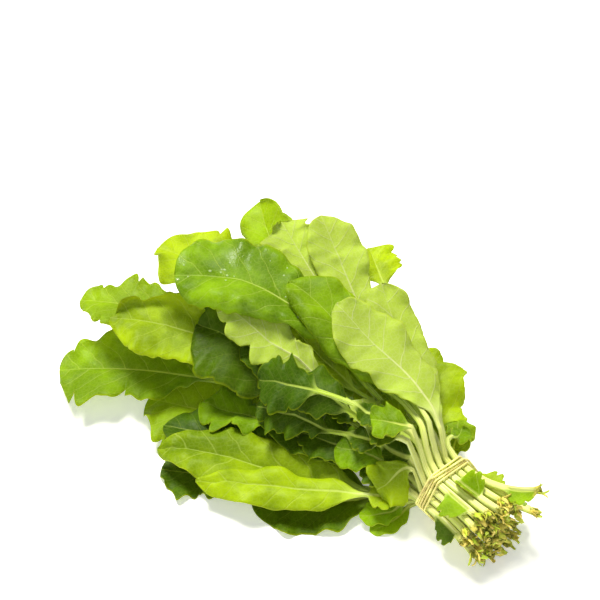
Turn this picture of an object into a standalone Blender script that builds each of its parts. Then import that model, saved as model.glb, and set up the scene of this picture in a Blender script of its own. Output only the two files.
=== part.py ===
"""A bunch of arugula lying on a table, tied with a rubber band wound several times round its stems.

The bunch lies along X: the cut ends point to +X and the leaves fan out towards -X. Each leaf is one piece
with its stem. The stems are packed in staggered rows under the band, bottom row first, and each leaf is laid
on those already lying below it, so that the leaves rest on each other and on the table without crossing.
"""

import math
from dataclasses import dataclass

import bmesh
import bpy
import numpy as np

MM = 0.001

# Stems under the band
STEM_RADIUS = 1.85 * MM
STEM_PITCH = 4.35 * MM
ROW_PITCH = STEM_PITCH * math.sqrt(3) / 2
CUT_LENGTH = 33 * MM  # from the band's middle to the cut ends, on average
CUT_FLARE = 0.24  # how far the stems spread again by the cut ends
CUT_RISE = 0.6  # share of that spread by which they also rise, while the whole end sinks to the table
SPLAY_RISE = 0.25  # share by which a stem that splays from the others also rises
CUT_UNEVEN = 4.5 * MM
CUT_POINTS, CURVE_POINTS = 12, 60  # on the midrib, on both sides of the band
EASE = 18 * MM  # over this length past the band a stem bends away from its neighbours
SEED = 7
BAND_HALF_WIDTH = 6 * MM  # the stems run straight this far on both sides of the band's middle
LEAD = 0.35  # share of a leaf's bearing at which its stem leaves the band, where it has no lead of its own
STEM_TAPER = 0.35  # share of its radius that a stem loses by its blade
RIB_TAPER = 0.9

# Leaf blades
BLADE_THICKNESS = 0.7 * MM
BLADE_STATIONS = (0, 0.09, 0.19, 0.3, 0.42, 0.54, 0.66, 0.77, 0.87, 0.95, 1)
SMALL_BLADE_STATIONS = (0, 0.14, 0.32, 0.52, 0.72, 0.9, 1)
SMALL_BLADE = 50 * MM
STEM_STATION = 26 * MM
LEAFLET_HALF = 7 * MM  # half the length of a leaflet along its stem
LEAFLET_STATIONS = (-1, -0.45, 0.45, 1)
LEAFLET_RISE = 12  # degrees
LEAFLET_EDGE = 3 * MM  # reach at which a leaflet is flat
OUTLINE = 1.5  # the more, the narrower each blade on both sides of its widest place
TIP_WIDTH = 0.16
BLADE_START = 0.2  # share of the blade over which the round stem flattens into it
ROLL_START = 0.4  # share of the blade's length, before the blade, at which its roll starts
LOBE_MIX = ((0.7, 1), (0.4, 1.9))  # size and rate of the two waves that make the lobes
WAVE_RATE = 1.3  # ripples to each lobe
TURN_BY_ROW, TURN_BY_COLUMN = 1.3, 2.1  # radians by which lobes and ripples differ from leaf to leaf
SECTION = (-1, -0.5, 0, 0.5, 1)  # places across the leaf, from its left edge to its right
STEM_CORNER = 0.8  # how far round a quarter of the stem those places lie
STRAIGHT = 1e-6  # radians that stand for no curl
CURL_FROM = 0.5  # share of each half that a curl leaves flat, from the midrib
CURL_START = 0.3  # share of the blade over which a curl grows

# Rubber band
STRAND_RADIUS = 0.5 * MM
STRAND_PITCH = 1.45 * MM
BAND_TURNS = 4.5
BAND_SPREAD = 0.2  # how much further apart the strands run over the top than at the sides
BAND_STEPS = 24  # in each turn
BAND_GAP = 0.35 * MM
BACK_STEPS = BAND_STEPS // 2
OVERPASS = 2 * STRAND_RADIUS + BAND_GAP
UNDER_STEMS = 2 * STRAND_RADIUS + BAND_GAP  # the band lifts the stems this far off the table
BAND_COLOUR = (0.80, 0.65, 0.32)

# How the leaves rest on each other
GAP = 0.35 * MM
CELL = 0.5 * MM
MAP_HALF = (0.30, 0.20)
SAMPLES = (44, 22)  # on each facet pair, along the leaf and across
DRAPE = 0.5  # steepest slope that resting on others adds to a leaf
FIRST_SHARE = 0.3  # from here along its first strip past the band a leaf is kept clear of the others


YOUNG = (0.45, 0.62, 0.04)
PALE = (0.56, 0.72, 0.20)
FRESH = (0.28, 0.52, 0.03)
DEEP = (0.11, 0.30, 0.02)


@dataclass
class Leaf:
    """Sizes in millimetres and angles in degrees. Left is the side towards -Y."""

    reach: float  # from the band to the tip, along the table
    turn: float  # bearing of the tip from the band, off -X towards -Y
    tip: float  # height of the tip
    blade: float
    width: float
    widest: float = 0.68  # share of the blade's length, from its stem
    lead: float = None  # bearing of the stem as it leaves the band
    climb: float = 0  # how much steeper than its neighbours the stem leaves the band
    sway: float = 0  # how much further the tip points towards -Y than its bearing
    droop: float = 0  # how steeply the tip points down
    roll: float = 0  # turns the face towards -Y
    twist: float = 0  # roll added by the tip
    fold: float = 7  # how far each half rises from the midrib
    curl: tuple = (0, 0)  # how far the outer half of each side, left and right, turns up
    lobes: float = 0.1
    waves: float = 2.5
    ripple: float = 1.4
    leaflets: tuple = ()  # (distance from the band, left reach, right reach) of each pair on the stem
    over: bool = False  # lies with its underside up
    hang: float = -6  # slope of its leaflets on the cut ends' side of the band
    longer: float = 0  # how much further its cut end reaches
    splay: float = 0  # how far its cut end stands off towards +Y
    late: float = 0  # laid after those that turn up to this much more
    colour: tuple = FRESH


# Bottom row first; within a row from -Y to +Y.
ROWS = (
    (
        Leaf(reach=40, turn=68, tip=0, blade=26, width=13, lead=54, widest=0.6),
        Leaf(
            reach=147, turn=39, tip=-2, blade=60, width=36, lead=28, twist=-10, lobes=0.2, waves=4,
            colour=DEEP,
        ),
        Leaf(reach=155, turn=4, tip=-4, blade=85, width=42),
        Leaf(reach=105, turn=-24, tip=-4, blade=68, width=38),
    ),
    (
        Leaf(reach=44, turn=60, tip=0, blade=26, width=12, lead=50, widest=0.6),
        Leaf(reach=97, turn=47.5, tip=-2, blade=66, width=40, lead=38, twist=6, widest=0.55, colour=DEEP),
        Leaf(reach=104, turn=12, tip=0, blade=66, width=50, widest=0.55, colour=DEEP),
        Leaf(reach=170, turn=-4, tip=0, blade=88, width=42),
        Leaf(reach=122, turn=-19, tip=0, blade=76, width=48),
    ),
    (
        Leaf(
            reach=150, turn=37, tip=6, blade=116, width=36, lead=38, widest=0.56, roll=10, fold=22,
            curl=(0, -25), lobes=0.05, colour=YOUNG,
        ),
        Leaf(reach=152, turn=31, tip=8, blade=76, width=38, roll=6, widest=0.6, colour=DEEP),
        Leaf(
            reach=170, turn=24.5, tip=6, blade=84, width=50, lead=12, roll=8, droop=10, lobes=0.26, waves=3,
        ),
        Leaf(reach=188, turn=2, tip=6, blade=92, width=42, droop=6),
        Leaf(reach=165, turn=-12, tip=12, blade=90, width=40),
        Leaf(reach=92, turn=-30, tip=12, blade=66, width=36),
    ),
    (
        Leaf(
            reach=125, turn=46.5, tip=8, blade=88, width=23, lead=44, widest=0.52, roll=12, fold=8,
            curl=(0, -70), lobes=0.07, leaflets=((26, 8, 8),), colour=YOUNG,
        ),
        Leaf(reach=104, turn=25.5, tip=8, blade=60, width=22, roll=12, widest=0.5, colour=DEEP),
        Leaf(reach=138, turn=24, tip=10, blade=50, width=32, lobes=0.2, waves=3, leaflets=((66, 9, 8),)),
        Leaf(
            reach=224, turn=25.6, tip=8, blade=92, width=50, lead=4, widest=0.7, sway=18, droop=14, roll=6,
            lobes=0.26, waves=2.2,
        ),
        Leaf(reach=190, turn=3, tip=32, blade=88, width=42),
        Leaf(reach=160, turn=-15, tip=30, blade=88, width=38, droop=4),
        Leaf(
            reach=88, turn=-33, tip=30, blade=70, width=40, lead=-20, widest=0.6, roll=8, twist=-6,
            lobes=0.16, waves=2.2, colour=YOUNG,
        ),
    ),
    (
        Leaf(
            reach=80, turn=24, tip=8, blade=38, width=26, lead=20, roll=12, droop=10, lobes=0.2,
            leaflets=((-17, 9, 0), (30, 9, 8)), hang=-60, colour=DEEP,
        ),
        Leaf(reach=58, turn=30, tip=8, blade=30, width=20, lead=8, roll=14, droop=10),
        Leaf(
            reach=154, turn=15, tip=20, blade=66, width=50, lead=7, roll=26, droop=20, late=10, colour=DEEP,
        ),
        Leaf(
            reach=200, turn=13.5, tip=26, blade=88, width=40, roll=6, droop=14, late=-12,
            leaflets=((64, 8, 8),),
        ),
        Leaf(
            reach=228, turn=18, tip=34, blade=78, width=38, widest=0.6, sway=18, droop=12, lobes=0.2,
            waves=3,
        ),
        Leaf(
            reach=200, turn=20.5, tip=38, blade=88, width=42, lead=4, widest=0.6, sway=18, roll=12,
            droop=12, curl=(0, 120), colour=YOUNG,
        ),
        Leaf(reach=152, turn=-12, tip=48, blade=80, width=34, roll=-6),
        Leaf(
            reach=40, turn=-52, tip=14, blade=24, width=18, lead=-38, leaflets=((-27, 0, 13),), hang=-40,
            longer=3,
        ),
    ),
    (
        Leaf(
            reach=35, turn=54, tip=6, blade=25, width=24, lead=42, climb=10, roll=35, droop=50,
            colour=YOUNG,
        ),
        Leaf(
            reach=104, turn=25.5, tip=12, blade=44, width=19, roll=15, lobes=0.3, waves=4,
            leaflets=((24, 8, 6), (42, 9, 7)), colour=DEEP,
        ),
        Leaf(
            reach=126, turn=14.5, tip=24, blade=50, width=24, roll=20, widest=0.6, lobes=0.2, waves=3,
            leaflets=((60, 9, 8),), colour=DEEP,
        ),
        Leaf(
            reach=198, turn=9, tip=64, blade=84, width=50, lead=0, widest=0.66, sway=20, lobes=0.16,
            waves=3, leaflets=((60, 9, 9), (84, 9, 9)), colour=YOUNG,
        ),
        Leaf(
            reach=184, turn=-9, tip=74, blade=70, width=29, lead=2, widest=0.7, sway=-20, droop=-22,
            twist=25, fold=14, curl=(-60, 0), late=-1,
        ),
        Leaf(
            reach=158, turn=-8.5, tip=78, blade=64, width=38, droop=-22, lobes=0.28, waves=5.5, over=True,
            colour=PALE,
        ),
        Leaf(
            reach=144, turn=-26, tip=56, blade=30, width=28, lead=-18, widest=0.6, lobes=0.2,
            leaflets=((-14, 0, 9),), hang=8, colour=YOUNG,
        ),
    ),
    (
        Leaf(
            reach=88, turn=18.5, tip=16, blade=36, width=24, lead=16, droop=25, roll=15, fold=-20,
            leaflets=((30, 8, 8),), colour=DEEP,
        ),
        Leaf(
            reach=106, turn=21.5, tip=18, blade=38, width=26, widest=0.6, roll=25, droop=40, lobes=0.2,
            waves=3, leaflets=((42, 8, 7),), colour=DEEP,
        ),
        Leaf(
            reach=144, turn=13, tip=36, blade=72, width=23, widest=0.6, roll=18, droop=8, lobes=0.22,
            waves=4.5, leaflets=((30, 8, 7), (52, 9, 8)), over=True, colour=PALE,
        ),
        Leaf(
            reach=124, turn=5, tip=34, blade=62, width=18, lead=-2, widest=0.6, droop=10, roll=20, fold=25,
            leaflets=((24, 8, 7), (44, 9, 8)), colour=YOUNG,
        ),
        Leaf(
            reach=151, turn=-16, tip=80, blade=74, width=30, droop=-25, lobes=0.05, over=True, colour=PALE,
        ),
        Leaf(
            reach=108, turn=-24, tip=42, blade=86, width=31, lead=-18, widest=0.66, droop=-10, over=True,
            colour=PALE,
        ),
    ),
    (
        Leaf(
            reach=41, turn=29, tip=16, blade=25, width=19, lead=10, climb=5, roll=20, droop=25,
            leaflets=((-17, 12, 0),), hang=2,
        ),
        Leaf(
            reach=172, turn=13.5, tip=68, blade=104, width=52, widest=0.72, lead=-20, sway=34, roll=14,
            droop=10, fold=10, curl=(-120, -20), lobes=0.03, ripple=0.8, late=-8,
        ),
        Leaf(
            reach=121, turn=0, tip=66, blade=94, width=34, lead=-12, widest=0.66, sway=14, droop=4, roll=12,
            curl=(-80, 0), lobes=0.05, leaflets=((-14, 10, 9),), hang=50,
        ),
        Leaf(
            reach=97, turn=-6, tip=48, blade=87, width=34, lead=-16, widest=0.62, sway=8, roll=12,
            lobes=0.08, over=True, colour=PALE,
        ),
        Leaf(
            reach=34, turn=-56, tip=12, blade=20, width=15, lead=-40, roll=-10, leaflets=((-31.5, 8, 0),),
            hang=2, longer=3, splay=9,
        ),
    ),
)
ROW_CLIMB = (0, 0, 1, 3, 5, 7, 9, 11)  # degrees
CORE_TURN = 4  # each row is laid from this bearing outwards


def smooth(x):
    """0 below 0, 1 above 1, and an even ramp between."""
    x = np.clip(x, 0, 1)
    return x * x * (3 - 2 * x)


def slot(row, column):
    """Where a stem passes the band: its place across the bunch and its height."""
    across = (column - (len(ROWS[row]) - 1) / 2) * STEM_PITCH
    return across, UNDER_STEMS + STEM_RADIUS + row * ROW_PITCH


def heading(bearing, pitch):
    """Unit vector that leads from the band towards the leaves."""
    bearing, pitch = math.radians(bearing), math.radians(pitch)
    level = math.cos(pitch)
    return np.array([-math.cos(bearing) * level, -math.sin(bearing) * level, math.sin(pitch)])


def cut_length(leaf, row, column):
    """Distance from the band's middle to the leaf's cut end."""
    draw = np.random.default_rng((SEED, row, column))
    return CUT_LENGTH + leaf.longer * MM + draw.uniform(-CUT_UNEVEN, CUT_UNEVEN)


def midrib(leaf, row, column):
    """Points close together from the cut end to the tip."""
    across, height = slot(row, column)
    past_band = cut_length(leaf, row, column) - BAND_HALF_WIDTH
    share = np.linspace(1, 0, CUT_POINTS)[:, None]
    away = share * past_band / (CUT_LENGTH - BAND_HALF_WIDTH)
    flare = CUT_FLARE * away**2
    splay = leaf.splay * MM * share**2
    sink = UNDER_STEMS * np.minimum(away, 1) ** 2
    cut_part = np.concatenate(
        [
            BAND_HALF_WIDTH + share * past_band,
            across * (1 + flare) + splay,
            height * (1 + flare * CUT_RISE) + splay * SPLAY_RISE - sink,
        ],
        axis=1,
    )
    start = np.array([-BAND_HALF_WIDTH, across, height])
    bearing = math.radians(leaf.turn)
    tip = np.array(
        [-leaf.reach * MM * math.cos(bearing), -leaf.reach * MM * math.sin(bearing), leaf.tip * MM]
    )
    pull = np.linalg.norm(tip - start) / 3
    lead = leaf.turn * LEAD if leaf.lead is None else leaf.lead
    first = start + heading(lead, ROW_CLIMB[row] + leaf.climb) * pull
    last = tip - heading(leaf.turn + leaf.sway, -leaf.droop) * pull
    t = np.linspace(0, 1, CURVE_POINTS)[:, None]
    curve = (
        (1 - t) ** 3 * start + 3 * (1 - t) ** 2 * t * first + 3 * (1 - t) * t**2 * last + t**3 * tip
    )
    past = along(curve)[:, None]
    straight = start - np.array([1, 0, 0]) * past
    curve = straight + (curve - straight) * smooth(past / EASE)
    return np.concatenate([cut_part, curve])


def along(points):
    """Distance of each point from the first one, along the line."""
    steps = np.linalg.norm(np.diff(points, axis=0), axis=1)
    return np.concatenate([[0], np.cumsum(steps)])


def stations(leaf, cut, length):
    """Distances from the cut end at which the leaf has a section."""
    blade = leaf.blade * MM
    base = length - blade
    shares = SMALL_BLADE_STATIONS if blade < SMALL_BLADE else BLADE_STATIONS
    places = [0, cut - BAND_HALF_WIDTH, cut + BAND_HALF_WIDTH]
    if base > cut + EASE + BAND_HALF_WIDTH:
        places.append(cut + EASE)
    for distance, _, _ in leaf.leaflets:
        places += [cut + distance * MM + LEAFLET_HALF * share for share in LEAFLET_STATIONS]
    places = sorted(places)
    count = max(1, math.ceil((base - places[-1]) / STEM_STATION))
    places += list(np.linspace(places[-1], base, count + 1)[1:-1])
    return np.array(places + [base + blade * share for share in shares])


def half_width(leaf, s, side, phase):
    """Half width of the blade at share s of its length, on its left (-1) or right (1)."""
    widest = leaf.widest
    outline = (s / widest) ** (OUTLINE * widest) * ((1 - s) / (1 - widest)) ** (OUTLINE * (1 - widest))
    outline = np.maximum(outline, TIP_WIDTH * (s > widest))
    turns = 2 * math.pi * leaf.waves * s + phase + side
    lobes = 1 + leaf.lobes * sum(size * np.sin(rate * turns) for size, rate in LOBE_MIX)
    return leaf.width * MM / 2 * outline * lobes


def leaflet_width(leaf, past, side):
    """How far the leaflets reach out from the stem at each distance past the band, left (-1) or right (1)."""
    reach = np.zeros_like(past)
    for distance, left, right in leaf.leaflets:
        most = (left if side < 0 else right) * MM
        away = np.abs(past - distance * MM) / LEAFLET_HALF
        reach = np.maximum(reach, most * np.sqrt(np.clip(1 - away**2, 0, 1)))
    return reach


def frames(points, line, places, roll):
    """Midrib point, left and up directions at each place, the last two turned by roll."""
    behind, centre, ahead = (
        np.stack([np.interp(places + step, line, points[:, k]) for k in range(3)], axis=1)
        for step in (-2 * MM, 0, 2 * MM)
    )
    tangent = ahead - behind
    tangent /= np.linalg.norm(tangent, axis=1, keepdims=True)
    up = np.array([0, 0, 1]) - tangent * tangent[:, 2:]
    up /= np.linalg.norm(up, axis=1, keepdims=True)
    left = np.cross(up, tangent)
    c, s = np.cos(roll)[:, None], np.sin(roll)[:, None]
    return centre, left * c - up * s, up * c + left * s


def skin(leaf, row, column, places, section):
    """Top and bottom points of the leaf, by place along it and across, before it is laid on the others."""
    points = midrib(leaf, row, column)
    line = along(points)
    past = places - cut_length(leaf, row, column)
    blade = leaf.blade * MM
    base = line[-1] - blade
    s = np.clip((places - base) / blade, 0, 1)
    phase = TURN_BY_COLUMN * column + TURN_BY_ROW * row
    rolled = smooth(((places - base) / blade + ROLL_START) * 2)
    roll = np.radians(leaf.roll * rolled + leaf.twist * s)
    centre, left, up = frames(points, line, places, roll)
    radius = STEM_RADIUS * (1 - STEM_TAPER * smooth(past / (past + base - places)))
    rib = np.maximum(radius * (1 - RIB_TAPER * s), BLADE_THICKNESS / 2)
    flat = np.full_like(rib, BLADE_THICKNESS / 2)
    sides = []
    for t in section:
        side = -1 if t < 0 else 1
        leaflet = leaflet_width(leaf, past, side)
        spread = np.maximum(smooth(s / BLADE_START), smooth(leaflet / LEAFLET_EDGE))
        wide = np.maximum(half_width(leaf, s, side, phase), radius + leaflet)
        start = np.radians(np.where(s > 0, leaf.fold, np.where(past > 0, LEAFLET_RISE, leaf.hang)))
        bend = math.radians(leaf.curl[side > 0]) / (1 - CURL_FROM) * smooth(s / CURL_START) + STRAIGHT
        lean = start + bend * max(abs(t) - CURL_FROM, 0)
        x = wide * (min(abs(t), CURL_FROM) * np.cos(start) + (np.sin(lean) - np.sin(start)) / bend)
        y = wide * (min(abs(t), CURL_FROM) * np.sin(start) + (np.cos(start) - np.cos(lean)) / bend)
        wave = np.sin(2 * math.pi * WAVE_RATE * leaf.waves * s + 2 * phase + 2 * side)
        y = y + leaf.ripple * MM * t * t * wave * (s > 0)
        corner = math.pi / 2 * (1 - STEM_CORNER * abs(t))
        x = radius * math.cos(corner) * (1 - spread) + x * spread if t else 0 * x
        y = y * spread
        lean = lean * spread * (t != 0)
        middle = centre - left * (side * x)[:, None] + up * y[:, None]
        normal = up * np.cos(lean)[:, None] + left * (side * np.sin(lean))[:, None]
        round_height = radius * math.sin(corner)
        face = round_height * (1 - spread) + flat * spread
        back = round_height * (1 - spread) + (flat if t else rib) * spread
        if leaf.over:
            face, back = back, face
        sides.append((middle + normal * face[:, None], middle - normal * back[:, None]))
    return tuple(np.stack(points, axis=1) for points in zip(*sides))


def rings(top, bottom):
    """One closed ring of points for each section."""
    return np.concatenate([top, bottom[:, ::-1]], axis=1)


class Pile:
    """Height of what already lies on the table, on a square grid."""

    def __init__(self):
        self.count = (int(2 * MAP_HALF[0] / CELL), int(2 * MAP_HALF[1] / CELL))
        self.height = np.full(self.count, -GAP)

    def cells(self, points):
        i = ((points[..., 0] + MAP_HALF[0]) / CELL).astype(int)
        j = ((points[..., 1] + MAP_HALF[1]) / CELL).astype(int)
        return i, j

    def needed(self, points):
        """How much each point has to rise to lie clear of what is below it."""
        return self.height[self.cells(points)] + GAP - points[..., 2]

    def add(self, points):
        np.maximum.at(self.height, self.cells(points), points[..., 2])


def surface_points(skin_rings):
    """Points spread over every facet: an array by section, strip, and share along and across it."""
    a, b = skin_rings[:-1], skin_rings[1:]
    a_next, b_next = np.roll(a, -1, axis=1), np.roll(b, -1, axis=1)
    u, v = np.meshgrid(np.linspace(0, 1, SAMPLES[0]), np.linspace(0, 1, SAMPLES[1]), indexing="ij")
    u, v = u[None, None, :, :, None], v[None, None, :, :, None]
    a, b, a_next, b_next = (p[:, :, None, None, :] for p in (a, b, a_next, b_next))
    one_way = np.where(
        u >= v, a + (b - a) * u + (b_next - b) * v, a + (a_next - a) * v + (b_next - a_next) * u
    )
    other_way = np.where(
        u + v <= 1,
        a + (b - a) * u + (a_next - a) * v,
        b_next + (a_next - b_next) * (1 - u) + (b - b_next) * (1 - v),
    )
    half = skin_rings.shape[1] // 2
    return np.concatenate([one_way[:, :half], other_way[:, half:]], axis=1)


def press(top, bottom):
    """Flattens onto the table what would reach below it."""
    thickness = np.maximum(top[..., 2] - bottom[..., 2], BLADE_THICKNESS)
    bottom[..., 2] = np.maximum(bottom[..., 2], 0)
    top[..., 2] = np.maximum(top[..., 2], bottom[..., 2] + thickness)


def rise_over(top, bottom, free, pile):
    """How much each point rises for the leaf to lie clear of the pile. The sections that aren't free stay."""
    count, across = top.shape[:2]
    need = np.maximum(pile.needed(surface_points(rings(top, bottom))), 0)
    share = np.linspace(0, 1, SAMPLES[0])[:, None]
    first = np.argmax(free) - 1
    need[:first] = 0
    need[first] *= (share > FIRST_SHARE) / np.maximum(share, FIRST_SHARE)
    need = need.max(axis=(2, 3))
    rise = np.zeros((count, across))
    for k in range(2 * across):
        for corner in (k, (k + 1) % (2 * across)):
            end = min(corner, 2 * across - 1 - corner)
            rise[:-1, end] = np.maximum(rise[:-1, end], need[:, k])
            rise[1:, end] = np.maximum(rise[1:, end], need[:, k])
    plan = top[..., :2]
    apart = np.linalg.norm(plan[:, :, None, None] - plan[None, None], axis=-1)
    return (rise[None, None] - DRAPE * apart).max(axis=(2, 3)) * free[:, None]


def facets(count, around):
    """Faces of a closed skin over count rings of points, split alike on both of its sides."""
    faces = []
    for i in range(count - 1):
        for k in range(around):
            a, b = i * around + k, i * around + (k + 1) % around
            c, d = b + around, a + around
            if k < around // 2:
                faces += [(a, b, c), (a, c, d)]
            else:
                faces += [(a, b, d), (b, c, d)]
    last = (count - 1) * around
    half = around // 2
    for k in range(half - 1):
        a, b, c, d = k, k + 1, around - 2 - k, around - 1 - k
        faces += [(a, c, b), (a, d, c)]
        faces += [(last + a, last + b, last + c), (last + a, last + c, last + d)]
    return faces


def material(name, colour, roughness=0.5):
    made = bpy.data.materials.new(name)
    made.use_nodes = True
    shader = made.node_tree.nodes["Principled BSDF"]
    shader.inputs["Base Color"].default_value = (*colour, 1)
    shader.inputs["Roughness"].default_value = roughness
    made.diffuse_color = (*colour, 1)
    return made


def leaf_object(name, skin_rings, colour, collection):
    count, around = skin_rings.shape[:2]
    mesh = bpy.data.meshes.new(name)
    mesh.from_pydata(skin_rings.reshape(-1, 3).tolist(), [], facets(count, around))
    made = bmesh.new()
    made.from_mesh(mesh)
    bmesh.ops.recalc_face_normals(made, faces=made.faces)
    made.to_mesh(mesh)
    made.free()
    mesh.shade_smooth()
    mesh.materials.append(material(name, colour))
    piece = bpy.data.objects.new(name, mesh)
    collection.objects.link(piece)
    return piece


def band_route():
    """Points of the band's strand: turns side by side round the stems, then one back across them."""
    centres = np.array([slot(row, column) for row in range(len(ROWS)) for column in range(len(ROWS[row]))])
    forward = int(BAND_TURNS * BAND_STEPS)
    wide = STRAND_PITCH * BAND_TURNS
    points = []
    for step in range(forward + BACK_STEPS):
        angle = math.pi + 2 * math.pi * step / BAND_STEPS
        normal = np.array([math.cos(angle), math.sin(angle)])
        back = max(0, step - forward) / BACK_STEPS
        away = STEM_RADIUS + BAND_GAP + STRAND_RADIUS + OVERPASS * math.sqrt(math.sin(math.pi * back))
        y, z = centres[(centres @ normal).argmax()] + normal * away
        spread = 1 + BAND_SPREAD * math.sin(angle)
        points.append((wide * spread * (min(step / forward, 1) - 0.5 - back), y, z))
    return points


def band(shift, collection):
    curve = bpy.data.curves.new("rubber_band", "CURVE")
    curve.dimensions = "3D"
    curve.bevel_depth = STRAND_RADIUS
    curve.bevel_resolution = 2
    spline = curve.splines.new("POLY")
    route = band_route()
    spline.points.add(len(route) - 1)
    for point, place in zip(spline.points, route):
        point.co = (*(np.array(place) - shift), 1)
    spline.use_cyclic_u = True
    curve.materials.append(material("rubber_band", BAND_COLOUR, 0.6))
    collection.objects.link(bpy.data.objects.new("rubber_band", curve))


def lay():
    """Top and bottom points of every leaf, by name, each laid on those laid before it."""
    pile = Pile()
    laid = {}
    for row, leaves in enumerate(ROWS):
        order = sorted(range(len(leaves)), key=lambda k: abs(leaves[k].turn - CORE_TURN) + leaves[k].late)
        for column in order:
            leaf = leaves[column]
            cut = cut_length(leaf, row, column)
            places = stations(leaf, cut, along(midrib(leaf, row, column))[-1])
            top, bottom = skin(leaf, row, column, places, SECTION)
            press(top, bottom)
            rise = rise_over(top, bottom, places > cut + BAND_HALF_WIDTH, pile)
            top[..., 2] += rise
            bottom[..., 2] += rise
            pile.add(surface_points(rings(top, bottom)))
            laid[f"leaf_{row}_{column}"] = leaf, rings(top, bottom)
    return laid


def main():
    for old in list(bpy.data.objects):
        bpy.data.objects.remove(old)
    collection = bpy.data.collections.new("arugula_bunch")
    bpy.context.scene.collection.children.link(collection)
    laid = lay()
    everything = np.concatenate([skin_rings.reshape(-1, 3) for _, skin_rings in laid.values()])
    shift = (everything.min(axis=0) + everything.max(axis=0)) / 2 * (1, 1, 0)
    for name, (leaf, skin_rings) in laid.items():
        leaf_object(name, skin_rings - shift, leaf.colour, collection)
    band(shift, collection)
    return -shift


SHIFT = main()
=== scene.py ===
"""The finished look of a tied bunch of arugula, fitted over its solid leaves.

Every leafy stem is laid out as in the solid model and then modelled again with notched and ruffled
edges, a channelled stem and a ragged cut end, and gets its colours and veins. The wound rubber band, the
torn strips on the cut ends, the water drops and the table with its light are made here too.
"""

import math
from dataclasses import dataclass
from functools import cache

import bmesh
import bpy
import numpy as np
from bpy.props import FloatProperty, FloatVectorProperty, IntProperty, PointerProperty
from mathutils import Matrix, Vector


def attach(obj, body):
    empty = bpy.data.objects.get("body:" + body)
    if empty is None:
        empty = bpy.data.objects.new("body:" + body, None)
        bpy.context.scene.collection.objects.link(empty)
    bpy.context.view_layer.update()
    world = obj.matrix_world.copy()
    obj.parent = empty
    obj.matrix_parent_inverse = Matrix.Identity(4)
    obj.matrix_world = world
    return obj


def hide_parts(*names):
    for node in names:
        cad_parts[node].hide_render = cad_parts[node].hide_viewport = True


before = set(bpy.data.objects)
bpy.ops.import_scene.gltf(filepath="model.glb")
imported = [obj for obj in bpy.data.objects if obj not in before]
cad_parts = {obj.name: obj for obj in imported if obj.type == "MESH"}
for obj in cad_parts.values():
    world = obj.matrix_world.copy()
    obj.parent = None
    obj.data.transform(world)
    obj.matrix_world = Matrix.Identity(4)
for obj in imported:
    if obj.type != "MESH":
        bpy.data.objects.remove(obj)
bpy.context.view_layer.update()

bl_info = {
    "name": "Arugula bunch",
    "version": (1, 0, 0),
    "blender": (4, 5, 0),
    "location": "3D View > Sidebar > Arugula",
    "description": "Models a tied bunch of arugula and the table that it lies on",
    "category": "Add Mesh",
}

MM = 0.001

# Layout, as in the solid model: stems under the band
STEM_RADIUS = 1.85 * MM
STEM_PITCH = 4.35 * MM
ROW_PITCH = STEM_PITCH * math.sqrt(3) / 2
CUT_LENGTH = 33 * MM  # from the band's middle to the cut ends, on average
CUT_FLARE = 0.24  # how far the stems spread again by the cut ends
CUT_RISE = 0.6  # share of that spread by which they also rise
SPLAY_RISE = 0.25  # share by which a stem that splays from the others also rises
CUT_UNEVEN = 4.5 * MM
CUT_POINTS, CURVE_POINTS = 12, 60  # on the midrib, on both sides of the band
EASE = 18 * MM  # over this length past the band a stem bends away from its neighbours
SEED = 7
BAND_HALF_WIDTH = 6 * MM  # the stems run straight this far on both sides of the band's middle
LEAD = 0.35  # share of a leaf's bearing at which its stem leaves the band
STEM_TAPER = 0.35  # share of its radius that a stem loses by its blade
RIB_TAPER = 0.9

# Layout: leaf blades
BLADE_THICKNESS = 0.7 * MM
BLADE_STATIONS = (0, 0.09, 0.19, 0.3, 0.42, 0.54, 0.66, 0.77, 0.87, 0.95, 1)
SMALL_BLADE_STATIONS = (0, 0.14, 0.32, 0.52, 0.72, 0.9, 1)
SMALL_BLADE = 50 * MM
STEM_STATION = 26 * MM
LEAFLET_HALF = 7 * MM  # half the length of a leaflet along its stem
LEAFLET_STATIONS = (-1, -0.45, 0.45, 1)
LEAFLET_RISE = 12  # degrees
LEAFLET_EDGE = 3 * MM  # reach at which a leaflet is flat
OUTLINE = 1.5  # the more, the narrower each blade on both sides of its widest place
TIP_WIDTH = 0.16
BLADE_START = 0.2  # share of the blade over which the round stem flattens into it
ROLL_START = 0.4  # share of the blade's length, before the blade, at which its roll starts
LOBE_MIX = ((0.7, 1), (0.4, 1.9))  # size and rate of the two waves that make the lobes
WAVE_RATE = 1.3  # ripples to each lobe
TURN_BY_ROW, TURN_BY_COLUMN = 1.3, 2.1  # radians by which lobes and ripples differ between leaves
SECTION = (-1, -0.5, 0, 0.5, 1)  # places across the leaf, from its left edge to its right
STEM_CORNER = 0.8  # how far round a quarter of the stem those places lie
TANGENT_STEP = 2 * MM  # the midrib's direction is taken this far on both sides of a place
STRAIGHT = 1e-6  # radians that stand for no curl
CURL_FROM = 0.5  # share of each half that a curl leaves flat, from the midrib
CURL_START = 0.3  # share of the blade over which a curl grows

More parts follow.
